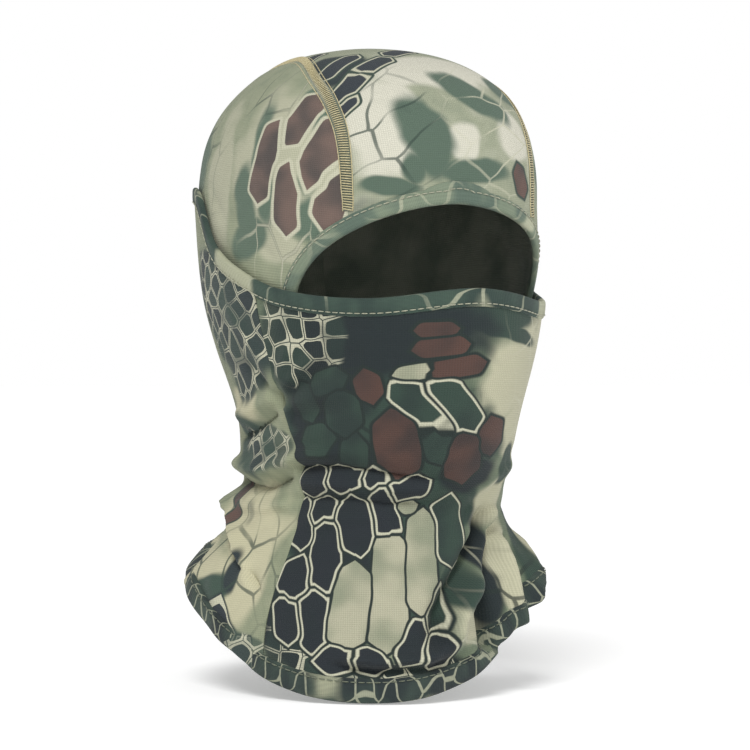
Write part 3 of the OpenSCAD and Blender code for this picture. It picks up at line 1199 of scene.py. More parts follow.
@dataclass(frozen=True)
class BindingPrint:
    """The same print on a narrow folded strip, where only pieces of cells show."""

    name: str
    ground: tuple
    dark: tuple
    light: tuple
    light_places: tuple[Pair, ...] = ()
    cell: Pair = (19.0, 12.0)
    lined: float = 0.42

    def made(self) -> bpy.types.Material:
        """Builds the material."""
        graph = Graph(self.name)
        cloth = graph.cloth()
        blur = graph.noise(cloth, 55.0, 2.0)
        colour = graph.mix(graph.ramp(blur, 0.40, 0.60), self.ground, self.dark)
        colour = graph.mix(graph.ramp(graph.noise(cloth, 33.0, 2.0), 0.60, 0.70), colour, self.light)
        for centre, half in self.light_places:
            local = graph.mapping(cloth, (centre * MM, 0.0), 0.0, (half * MM, 1.0))
            colour = graph.mix(graph.ramp(graph.vector("LENGTH", local), 1.15, 0.85), colour, self.light)
        wander = graph.vector("SUBTRACT", graph.noise(cloth, 60.0, 1.0, colour=True), (0.5, 0.5, 0.5))
        bent = graph.vector("ADD", cloth, graph.vector("MULTIPLY", wander, (0.006, 0.006, 0.0)))
        grid = graph.mapping(bent, (0, 0), 24.0, (self.cell[0] * MM, self.cell[1] * MM))
        edge = graph.cells(grid, "DISTANCE_TO_EDGE", 0.8).outputs["Distance"]
        patchy = graph.ramp(graph.noise(cloth, 21.0, 1.0), self.lined, self.lined + 0.13)
        line = graph.math("MULTIPLY", graph.ramp(edge, 0.055, 0.03), patchy)
        colour = graph.mix(graph.math("MULTIPLY", line, 0.65), colour, shade(172, 174, 150))
        height = Knit(1.2).height(graph, cloth)
        # Painted shade in the knit's hollows: the colour darkens towards near black where the knit's bump is
        # low
        colour = graph.mix(graph.ramp(height, 0.0, 1.0, 0.14, 0.0), colour, (0.03, 0.035, 0.035, 1.0))
        return graph.finish(colour, 0.78, height, 0.00012, 0.08)


@dataclass(frozen=True)
class Thread:
    """Twisted polyester thread."""

    name: str
    dye: tuple
    shadow: tuple
    twist: float = 0.45

    def made(self) -> bpy.types.Material:
        """Builds the material."""
        graph = Graph(self.name)
        place = graph.place()
        wave = graph.node("ShaderNodeTexWave", bands_direction="DIAGONAL")
        graph.feed(wave.inputs["Vector"], place)
        wave.inputs["Scale"].default_value = 1.0 / (self.twist * MM) / 3.0
        wave.inputs["Distortion"].default_value = 0.6
        fray = graph.noise(place, 900.0, 2.0)
        colour = graph.mix(graph.ramp(fray, 0.3, 0.75, 0.0, 0.6), self.dye, self.shadow)
        # Painted shade in the grooves of the twist, where the wave that also makes the bump is low
        colour = graph.mix(graph.ramp(wave.outputs["Fac"], 0.6, 0.1, 0.0, 0.45), colour, self.shadow)
        return graph.finish(colour, 0.6, wave.outputs["Fac"], 0.00008, 0.25)


# --------------------------------------------------------------------------
# Sub-assemblies
# --------------------------------------------------------------------------


@dataclass(frozen=True)
class FoldedEdge:
    """A strip of cloth folded over an edge and stitched down."""

    width: float
    gap: float
    overlap: float = 1.7
    leg: float = 0.9
    stitch_in: float = 3.3
    pucker: float = 0.16
    pucker_pitch: float = 3.9

    def section(self, tilt: Array, along: Array) -> tuple[Array, Array]:
        """Section of the fold.

        Args:
            tilt: Degrees round the section.
            along: Millimetres along the edge, for the puckers.

        Returns:
            Distance from the cloth's edge, and height above its inner face.
        """
        half_width = self.width / 2
        half_height = self.gap + self.leg + CLOTH / 2
        cosine, sine = np.cos(np.radians(tilt)), np.sin(np.radians(tilt))
        across = half_width - self.overlap + half_width * np.sign(cosine) * np.abs(cosine) ** 0.5
        height = CLOTH / 2 + half_height * np.sign(sine) * np.abs(sine) ** 0.72
        outside = ease(sine * 1.6)
        row = self.width - self.overlap - self.stitch_in + 1.7
        groove = 0.28 * np.exp(-(((across - row) / 0.7) ** 2))
        wave = np.sin(2 * math.pi * along / self.pucker_pitch)
        fade = np.exp(-(((across - row) / 2.6) ** 2))
        return across + 0.10 * wave * (cosine > 0.5), height - outside * (groove - self.pucker * wave * fade)

    def stitch_row(self) -> float:
        """Distance of the stitches from the cloth's edge."""
        return self.width - self.stitch_in

    def stitch_lift(self) -> float:
        """Height of the stitches above the cloth's inner face."""
        return CLOTH + self.gap + self.leg - 0.22


@dataclass
class Hood:
    """Inner hood: three crown panels, their flat seams and the bound face opening."""

    form: HeadForm
    opening: FaceOpening
    printed: dict[str, bpy.types.Material]
    brow_seam_angle: float = 36.5
    nape_seam_angle: float = 15.5
    seam_plan_rows: tuple[Pair, ...] = (
        (-0.836, 0.619), (-0.643, 0.512), (-0.4845, 0.46), (-0.309, 0.41),
        (0.015, 0.29), (0.4, 0.26), (1.0, 0.28), (2.0, 0.54))
    seam_width: float = 5.0
    seam_reach: Pair = (0.024, 0.975)
    binding: FoldedEdge = FoldedEdge(8.2, 0.45)
    cloth_radius: float = 85.0
    pieces: dict[str, bpy.types.Object] = field(default_factory=dict)

    def __post_init__(self) -> None:
        """Works out where the crown seam starts and ends."""
        self.corner_turn = math.degrees(math.asin(
            (self.brow_seam_angle / self.opening.half_angle) ** (self.opening.power / 2)))
        corner = self.opening.plan(np.array([self.corner_turn]))[0]
        ring = self.form.join_drop / self.form.crown_height
        angle = math.radians(self.nape_seam_angle)
        self.join_ring = ring
        self.corner = corner
        self.nape_end = ring * np.array([math.sin(angle), math.cos(angle)])
        self.seam_curve = Stations((
            (corner[1], corner[0]), *self.seam_plan_rows, (self.nape_end[1], self.nape_end[0])))

    def seam_plan(self, share: Array) -> Array:
        """Crown seam in the hood's plan.

        Args:
            share: 0 at the brow and 1 at the neck.

        Returns:
            Points of the plan, on the wearer's left.
        """
        forward = self.corner[1] + (self.nape_end[1] - self.corner[1]) * np.asarray(share)
        return np.stack([self.seam_curve.at(forward), forward], axis=-1)

    def patch(self, across: Array, down: Array, top: Callable, low: Callable,
              left: Callable, right: Callable) -> Array:
        """Plan points of a panel between its four edges.

        Args:
            across: Shares across the panel.
            down: Shares down the panel.
            top: Upper edge, from left to right.
            low: Lower edge, from left to right.
            left: Left edge, from top to bottom.
            right: Right edge, from top to bottom.

        Returns:
            Points of the plan.
        """
        u, v = across[:, None], down[:, None]
        zero, one = np.zeros(1), np.ones(1)
        return ((1 - v) * top(across) + v * low(across) + (1 - u) * left(down) + u * right(down)
                - (1 - u) * (1 - v) * top(zero) - u * (1 - v) * top(one)
                - (1 - u) * v * low(zero) - u * v * low(one))

    def neck_plan(self, angle: Array) -> Array:
        """Neck edge of the hood in its plan, at an angle from the front."""
        turn = np.radians(angle)
        return self.join_ring * np.stack([np.sin(turn), -np.cos(turn)], axis=-1)

    def centre_plan(self, across: Array, down: Array) -> Array:
        """Plan of the centre panel, brow to nape."""
        mirror = np.array([-1.0, 1.0])
        return self.patch(
            across, down,
            lambda u: self.opening.plan(self.corner_turn * (2 * u - 1)),
            lambda u: self.neck_plan(180.0 + self.nape_seam_angle * (1 - 2 * u)),
            lambda v: self.seam_plan(v) * mirror,
            self.seam_plan)

    def side_plan(self, across: Array, down: Array, hand: int) -> Array:
        """Plan of a side panel, from the crown seam round to the chin.

        Args:
            across: Shares from the crown seam's end to the chin.
            down: Shares from the face opening to the neck.
            hand: 1 for the wearer's left, -1 for the right.

        Returns:
            Points of the plan.
        """
        bottom = self.opening.middle_drop + self.opening.half_height
        plan = self.patch(
            across, down,
            lambda u: self.opening.plan(self.corner_turn + (180 - self.corner_turn) * u),
            lambda u: self.neck_plan((180 - self.nape_seam_angle) * (1 - u)),
            self.seam_plan,
            lambda v: self.form.plan_of(np.zeros(len(v)), bottom + (self.form.join_drop - bottom) * v))
        return plan * np.array([float(hand), 1.0])

    def centre_cloth(self, points: Array) -> Array:
        """Flat-cloth place of points on the centre panel: rolled out from front to back."""
        around = np.arctan2(-points[..., 1], points[..., 2] + 80.0)
        reach = np.hypot(points[..., 1], points[..., 2] + 80.0)
        return np.stack([
            self.cloth_radius * np.arctan2(points[..., 0], reach),
            -self.cloth_radius * around], axis=-1)

    def side_cloth(self, points: Array, hand: int) -> Array:
        """Flat-cloth place of points on a side panel: smoothed out from its middle.

        Args:
            points: Points in millimetres.
            hand: 1 for the wearer's left, -1 for the right.

        Returns:
            Across (towards the face) and up, in millimetres.
        """
        ray = unit_rows(points - np.array([0.0, 5.0, -60.0]))
        pole = unit_rows(np.array([hand * 1.0, 0.05, 0.25]))
        up = unit_rows(np.array([0.0, 0.0, 1.0]) - pole[2] * pole)
        face = np.cross(pole, up) * hand
        away = np.arccos(np.clip(ray @ pole, -1, 1))
        spin = np.arctan2(ray @ up, ray @ face)
        return self.cloth_radius * np.stack([away * np.cos(spin), away * np.sin(spin)], axis=-1)

    def spot(self, panel: str) -> Callable[[float, float], Pair]:
        """Finds flat-cloth places on a panel from an angle and a drop.

        Args:
            panel: "centre", "right" or "left".

        Returns:
            A function that gives the place in millimetres.
        """
        def find(angle: float, drop: float) -> Pair:
            """Flat-cloth place of one angle and drop."""
            plan = self.form.plan_of(np.array([angle]), np.array([drop]))
            point = self.form.plan_point(plan)
            place = self.centre_cloth(point) if panel == "centre" else self.side_cloth(
                point, 1 if panel == "left" else -1)
            return (float(place[0, 0]), float(place[0, 1]))
        return find

    def seam_at(self, hand: int, across: Number = 0.0) -> Callable[[Array, Number], Array]:
        """Line beside the crown seam.

        Args:
            hand: 1 for the wearer's left, -1 for the right.
            across: Offset from the seam in millimetres.

        Returns:
            A function from share and lift to points.
        """
        def place(share: Array, lift: Number) -> Array:
            """Points of the line."""
            first, second = self.seam_plan(share), self.seam_plan(np.asarray(share) + 0.004)
            run = unit_rows(second - first)
            aside = np.stack([run[..., 1], -run[..., 0]], axis=-1)
            plan = first + aside * (np.asarray(across)[..., None] / 80.0)
            return self.form.plan_point(plan * np.array([float(hand), 1.0]), lift)
        return place

    def build_panels(self) -> None:
        """Builds the three crown panels."""
        def lift(plan: Array) -> Array:
            """Pulls the cloth in a little at the crown seam."""
            seam = self.seam_curve.at(plan[:, 1])
            away = (np.abs(plan[:, 0]) - seam) * 80.0
            return -0.35 * np.exp(-((away / 3.2) ** 2)) + 0.30 * np.exp(-(((np.abs(away) - 5.5) / 3.0) ** 2))

        def centre(across: Array, down: Array) -> Array:
            """Points of the centre panel."""
            plan = self.centre_plan(1 - across, down)
            return self.form.plan_point(plan, lift(plan))

        self.pieces["crown_centre"] = cloth_sheet(
            "crown_centre", (72, 230), centre,
            lambda u, v: self.centre_cloth(self.form.plan_point(self.centre_plan(1 - u, v))))
        for word, hand in (("right", -1), ("left", 1)):
            def side(across: Array, down: Array, hand: int = hand) -> Array:
                """Points of a side panel."""
                share = across if hand < 0 else 1 - across
                plan = self.side_plan(share, down, hand)
                return self.form.plan_point(plan, lift(plan))

            def side_flat(across: Array, down: Array, hand: int = hand) -> Array:
                """Flat-cloth places of a side panel."""
                share = across if hand < 0 else 1 - across
                return self.side_cloth(self.form.plan_point(self.side_plan(share, down, hand)), hand)

            self.pieces[f"crown_side_{word}"] = cloth_sheet(
                f"crown_side_{word}", (170, 130), side, side_flat)

    def build_binding(self) -> None:
        """Builds the folded binding of the face opening and its stitches."""
        edge = StitchRow(lambda turn, lift: self.opening.point(turn, 0.0, lift), -180.0, 180.0, True)
        fine = np.linspace(-180.0, 180.0, 1200)
        path = edge.place(fine, CLOTH)
        run = np.concatenate([[0.0], np.cumsum(np.linalg.norm(np.diff(path, axis=0), axis=1))])
        pitch = run[-1] / round(run[-1] / self.binding.pucker_pitch)
        scale = self.binding.pucker_pitch / pitch

        def place(turn: Array, tilt: Array) -> Array:
            """Points of the binding."""
            grow, lift = self.binding.section(tilt, np.interp(turn, fine, run) * scale)
            return self.opening.point(turn, grow, lift)

        self.pieces["face_edge"] = cloth_ring(
            "face_edge", (640, 28), place,
            lambda turn, tilt: np.stack([
                np.interp(turn, fine, run) + run[-1] * (turn > 180), tilt / 360.0 * 22.0], axis=-1))
        row = StitchRow(
            lambda turn, lift: self.opening.point(turn, self.binding.stitch_row(), lift), -180.0, 180.0, True)
        self.pieces["face_edge_stitches"] = Stitch(3.2, 0.62, 0.30).sewn(
            "face_edge_stitches", row.spaced(3.9, self.binding.stitch_lift()))

    def build_seams(self) -> None:
        """Builds each crown seam: its band, its rungs and the chains at its sides."""
        half = self.seam_width / 2
        for word, hand in (("right", -1), ("left", 1)):
            span = self.seam_reach

            def band(across: Array, down: Array, hand: int = hand) -> Array:
                """Points of the seam's band."""
                share = span[0] + (span[1] - span[0]) * down
                aside = (across - 0.5) * self.seam_width * hand
                crown = 0.32 * (1 - (2 * across - 1) ** 2)
                return self.seam_at(hand, aside)(share, CLOTH + 0.02 + crown)

            piece = cloth_sheet(
                f"crown_seam_band_{word}", (8, 240), band,
                lambda u, v: np.stack([u * 5.0, v * -330.0], axis=-1), 0.30)
            self.pieces[f"crown_seam_band_{word}"] = piece
            rows = StitchRow(self.seam_at(hand), span[0], span[1])
            self.pieces[f"crown_seam_rungs_{word}"] = Stitch(
                self.seam_width + 0.5, 0.62, 0.34, across=True, slant=9.0 * hand).sewn(
                    f"crown_seam_rungs_{word}", rows.spaced(1.25, CLOTH + 0.42))
            for side, offset in (("inner", -half), ("outer", half)):
                chain = StitchRow(self.seam_at(hand, offset), span[0], span[1])
                self.pieces[f"crown_seam_chain_{side}_{word}"] = Stitch(3.0, 0.60, 0.12).sewn(
                    f"crown_seam_chain_{side}_{word}", chain.spaced(2.5, CLOTH + 0.25))

    def build_join(self) -> None:
        """Builds the inner seam that joins the hood to the tube."""
        def place(turn: Array, tilt: Array) -> Array:
            """Points of the seam allowance."""
            sine, cosine = np.sin(np.radians(tilt)), np.cos(np.radians(tilt))
            drop = self.form.join_drop - 0.2 + 2.2 * np.sign(cosine) * np.abs(cosine) ** 0.6
            lift = -1.45 + 0.75 * np.sign(sine) * np.abs(sine) ** 0.8
            return self.form.tube_point(turn, drop, lift)

        self.pieces["join_allowance"] = cloth_ring(
            "join_allowance", (420, 14), place,
            lambda turn, tilt: np.stack([turn * 1.3, tilt / 360.0 * 10.0], axis=-1))
        row = StitchRow(lambda turn, lift: self.form.tube_point(turn, self.form.join_drop - 0.2, -lift),
                        -180.0, 180.0, True)
        self.pieces["join_overlock"] = OVERLOCK.sewn("join_overlock", row.spaced(OVERLOCK_PITCH, 2.12))

    def dress(self) -> None:
        """Gives each piece its finish and its body, and hides the CAD nodes that the pieces stand for."""
        cloth = self.printed
        finishes = {
            "crown_centre": ("crown_centre_print", "camo_knit"),
            "crown_side_right": ("crown_right_print", "camo_knit"),
            "crown_side_left": ("crown_left_print", "camo_knit"),
            "face_edge": ("face_edge_print", "camo_binding"),
            "face_edge_stitches": ("sewing_thread", "sewing_thread"),
            "join_allowance": ("cloth_reverse", "overlock_thread"),
            "join_overlock": ("overlock_thread", "overlock_thread"),
        }
        for name, piece in self.pieces.items():
            finish, slot = finishes.get(name, ("seam_thread", "seam_thread"))
            if name.startswith("crown_seam_band"):
                finish = "seam_band"
            paint(piece, cloth[finish], cloth["cloth_reverse"])
            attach(piece, HOOD)
        stands_for = {
            "crown_centre": "crown_centre_panel", "crown_side_right": "crown_side_panel_right",
            "crown_side_left": "crown_side_panel_left", "face_edge": "face_binding",
            "face_edge_stitches": "face_binding_stitching", "crown_seam_rungs_right": "crown_seam_right",
            "crown_seam_rungs_left": "crown_seam_left", "join_allowance": "join_seam"}
        for name, node in stands_for.items():
            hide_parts(node)


@dataclass
class NeckTube:
    """Outer tube: mask and throat in front, nape behind, with side seams and hems."""

    form: HeadForm
    printed: dict[str, bpy.types.Material]
    seam_parting: float = 0.10
    cloth_per_degree: float = 1.40
    cloth_datum: float = 125.0
    mask_edge: FoldedEdge = FoldedEdge(9.0, 0.45)
    neck_edge: FoldedEdge = FoldedEdge(12.0, 0.45, stitch_in=3.5)
    bend_start: tuple[float, float, float] = (0.0, 0.0, -0.238)
    bend_end: tuple[float, float, float] = (0.0, 0.0, -0.137)
    pieces: dict[str, bpy.types.Object] = field(default_factory=dict)

    def cloth_row(self, drop: Number) -> Array:
        """Flat-cloth height of a drop, measured down the middle of the front."""
        fine = np.linspace(50.0, 340.0, 400)
        radius = self.form.tube.at(fine, 2)
        run = np.concatenate([[0.0], np.cumsum(np.hypot(np.diff(fine), 0.7 * np.diff(radius)))])
        return -(np.interp(drop, fine, run) - np.interp(self.cloth_datum, fine, run))

    def front_spot(self, angle: float, drop: float) -> Pair:
        """Flat-cloth place on the front panel."""
        return (self.cloth_per_degree * angle, float(self.cloth_row(drop)))

    def back_spot(self, angle: float, drop: float) -> Pair:
        """Flat-cloth place on the back panel."""
        return (self.cloth_per_degree * float(wrapped(angle - 180.0)), float(self.cloth_row(drop)))

    def panel(self, name: str, steps: tuple[int, int], front: bool) -> bpy.types.Object:
        """Builds the front or the back panel.

        Args:
            name: Name of the piece.
            steps: Faces across and down.
            front: True for the front panel.

        Returns:
            The panel.
        """
        def columns(across: Array, drop: Array) -> Array:
            """Angles of the panel's columns at a drop."""
            seam = self.form.side_seam.at(drop)
            share = across - 0.12 * np.sin(4 * math.pi * (across - 0.5)) / (4 * math.pi) * 2
            if front:
                return (2 * share - 1) * (seam - self.seam_parting)
            reach = 180.0 - seam - self.seam_parting
            return 180.0 + (2 * share - 1) * reach

        def where(across: Array, down: Array) -> tuple[Array, Array]:
            """Angles and drops of the panel's points."""
            drop = np.full(across.shape, 200.0)
            for _ in range(4):
                angle = columns(across, drop)
                top = self.form.upper_hem.at(wrapped(angle))
                low = self.form.lower_hem.at(wrapped(angle))
                drop = top + (low - top) * down
            return columns(across, drop), drop

        def place(across: Array, down: Array) -> Array:
            """Points of the panel."""
            return self.form.tube_point(*where(across, down))

        def cloth(across: Array, down: Array) -> Array:
            """Flat-cloth places of the panel."""
            angle, drop = where(across, down)
            centred = angle if front else angle - 180.0
            return np.stack([self.cloth_per_degree * centred, self.cloth_row(drop)], axis=-1)

        return cloth_sheet(name, steps, place, cloth)

    def build_panels(self) -> None:
        """Builds the front and back panels."""
        self.pieces["mask_front"] = self.panel("mask_front", (176, 170), True)
        self.pieces["nape_back"] = self.panel("nape_back", (270, 160), False)

    def edge(self, name: str, shape: FoldedEdge, hem: Stations, down: int, steps: tuple[int, int]) -> None:
        """Builds a folded edge of the tube with its stitches.

        Args:
            name: Name of the edge.
            shape: The fold's section.
            hem: Where the cloth ends.
            down: 1 where the fold lies below the edge, -1 where it lies above.
            steps: Faces round the tube and round the fold.
        """
        fine = np.linspace(-180.0, 180.0, 1200)
        path = self.form.tube_point(fine, hem.at(fine), CLOTH)
        run = np.concatenate([[0.0], np.cumsum(np.linalg.norm(np.diff(path, axis=0), axis=1))])
        pitch = run[-1] / round(run[-1] / shape.pucker_pitch)
        scale = shape.pucker_pitch / pitch

        def place(turn: Array, tilt: Array) -> Array:
            """Points of the folded edge."""
            across, lift = shape.section(tilt, np.interp(turn, fine, run) * scale)
            return self.form.tube_point(turn, hem.at(turn) + down * across, lift)

        def cloth(turn: Array, tilt: Array) -> Array:
            """Flat-cloth places of the folded edge."""
            return np.stack([
                self.cloth_per_degree * turn,
                self.cloth_row(hem.at(wrapped(turn))) - down * shape.width * (1 - tilt / 180.0)], axis=-1)

        self.pieces[name] = cloth_ring(name, steps, place, cloth)
        row = StitchRow(
            lambda turn, lift: self.form.tube_point(turn, hem.at(turn) + down * shape.stitch_row(), lift),
            -180.0, 180.0, True)
        self.pieces[f"{name}_stitches"] = Stitch(3.2, 0.62, 0.30).sewn(
            f"{name}_stitches", row.spaced(3.9, shape.stitch_lift()))

    def build_side_seams(self) -> None:
        """Builds the overlocked allowance inside each side seam."""
        for word, hand in (("right", -1), ("left", 1)):
            def line(offset: Number = 0.0, hand: int = hand) -> Callable[[Array, Number], Array]:
                """Line beside the seam, offset in degrees."""
                def place(drop: Array, lift: Number) -> Array:
                    """Points of the line, with lift measured inwards."""
                    return self.form.tube_point(hand * self.form.side_seam.at(drop) + offset, drop, -lift)
                return place

            ends = [self.form.join_drop + 4.0, float(self.form.lower_hem.at(hand * 65.0)) - 11.0]

            def strip(across: Array, down: Array) -> Array:
                """Points of the allowance."""
                drop = ends[0] + (ends[1] - ends[0]) * down
                return line((across - 0.5) * 3.2)(drop, 0.55 + 0.5 * (1 - (2 * across - 1) ** 2))

            self.pieces[f"side_allowance_{word}"] = cloth_sheet(
                f"side_allowance_{word}", (6, 60), strip,
                lambda u, v: np.stack([u * 4.0, v * -60.0], axis=-1), 0.30)
            row = StitchRow(line(), ends[0], ends[1])
            self.pieces[f"side_overlock_{word}"] = OVERLOCK.sewn(
                f"side_overlock_{word}", row.spaced(OVERLOCK_PITCH, 1.12))

    def dress(self) -> None:
        """Gives each piece its finish, puts the pieces other than the two printed panels on their bodies, and
        hides the CAD nodes that the pieces stand for.
        """
        cloth = self.printed
        finishes = {
            "mask_front": ("mask_print", "camo_knit"),
            "nape_back": ("nape_print", "camo_knit"),
            "mask_edge": ("mask_edge_print", "camo_binding"),
            "neck_edge": ("neck_edge_print", "camo_binding"),
            "mask_edge_stitches": ("sewing_thread", "sewing_thread"),
            "neck_edge_stitches": ("hem_thread", "sewing_thread"),
        }
        for name, piece in self.pieces.items():
            finish, slot = finishes.get(name, ("overlock_thread", "overlock_thread"))
            if name.startswith("side_allowance"):
                finish = "cloth_reverse"
            paint(piece, cloth[finish], cloth["cloth_reverse"])
            if slot == "camo_knit":
                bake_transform(piece)
            else:
                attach(piece, MASK if name.startswith("mask_edge") else HOOD)
        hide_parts("face_panel", "throat_panel")
        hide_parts("occiput_panel", "nape_panel")
        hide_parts("mask_binding")
        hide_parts("mask_binding_stitching")
        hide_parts("neck_hem")
        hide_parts("neck_hem_stitching")
        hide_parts("side_seam_right")
        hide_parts("side_seam_left")


@dataclass(frozen=True)
class Studio:
    """Pale floor, soft lights and the camera."""

    floor_gap: float = 0.0006
    camera_turn: float = 30.0
    camera_distance: float = 1.4
    camera_rise: float = 0.0
    aim_height: float = -0.165
    aim_aside: float = 0.0031
    lens: float = 131.0
    ambient: float = 0.4
    floor_glow: float = 0.3

    def light(self, name: str, place: tuple[float, float, float], size: float, power: float,
              kind: str = "AREA") -> None:
        """Adds a soft light that faces the mask.

        Args:
            name: Name of the light.
            place: Its position in metres.
            size: Side of an area light in metres, or a sun's spread in degrees.
            power: Its power in watts, or a sun's strength.
            kind: "AREA" or "SUN".
        """
        deselect_all()
        bpy.ops.object.light_add(type=kind, location=place)
        lamp = bpy.context.object
        lamp.name = lamp.data.name = name
        lamp.data.energy = power
        if kind == "SUN":
            lamp.data.angle = math.radians(size)
        else:
            lamp.data.size = size
        aim = Vector((0.0, 0.0, self.aim_height))
        lamp.rotation_euler = (aim - Vector(place)).to_track_quat("-Z", "Y").to_euler()

    def build(self, floor_height: float) -> None:
        """Builds the floor, the lights and the camera.

        Args:
            floor_height: Height of the lowest point of the mask, in metres.
        """
        deselect_all()
        bpy.ops.mesh.primitive_plane_add(size=60.0, location=(0.0, 0.0, floor_height - self.floor_gap))
        floor = bpy.context.object
        floor.name = floor.data.name = "floor"
        graph = Graph("floor_paint")
        shadow = graph.noise(graph.place(), 3.0, 2.0)
        pale = graph.mix(graph.ramp(shadow, 0.2, 0.8), (0.86, 0.86, 0.86, 1.0), (0.88, 0.88, 0.88, 1.0))
        paper = graph.finish(pale, 0.9)
        glow = paper.node_tree.nodes["Principled BSDF"]
        glow.inputs["Emission Color"].default_value = (1.0, 1.0, 1.0, 1.0)
        glow.inputs["Emission Strength"].default_value = self.floor_glow
        floor.data.materials.append(paper)
        floor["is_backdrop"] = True
        bpy.context.scene.view_settings.view_transform = "Standard"
        world = bpy.data.worlds.new("studio")
        world.use_nodes = True
        nodes, links = world.node_tree.nodes, world.node_tree.links
        backdrop = nodes["Background"]
        backdrop.inputs["Color"].default_value = (1.0, 1.0, 1.0, 1.0)
        seen = nodes.new("ShaderNodeLightPath").outputs["Is Camera Ray"]
        strength = nodes.new("ShaderNodeMapRange")
        strength.inputs["To Min"].default_value = self.ambient
        strength.inputs["To Max"].default_value = 1.0
        links.new(seen, strength.inputs["Value"])
        links.new(strength.outputs["Result"], backdrop.inputs["Strength"])
        bpy.context.scene.world = world
        self.light("key", (-1.6, -1.9, 2.6), 24.0, 2.0, "SUN")
        self.light("fill", (1.5, -1.1, 0.3), 1.3, 7.0)
        self.light("front", (-0.6, -1.6, 0.1), 0.9, 5.0)
        turn = math.radians(self.camera_turn)
        right = Vector((math.cos(turn), -math.sin(turn), 0.0))
        view = Vector((math.sin(turn), math.cos(turn), 0.0))
        aim = Vector((0.0, 0.0, self.aim_height)) + right * self.aim_aside
        rise = math.radians(self.camera_rise)
        lifted = Vector((0, 0, self.camera_distance * math.sin(rise)))
        eye = aim - view * self.camera_distance * math.cos(rise) + lifted
        bpy.ops.object.camera_add(location=eye)
        camera = bpy.context.object
        camera.rotation_euler = (aim - eye).to_track_quat("-Z", "Y").to_euler()
        camera.data.lens = self.lens
        camera.data.sensor_width = 36.0
        bpy.context.scene.camera = camera


# --------------------------------------------------------------------------
# The mask's own drape and print
# --------------------------------------------------------------------------


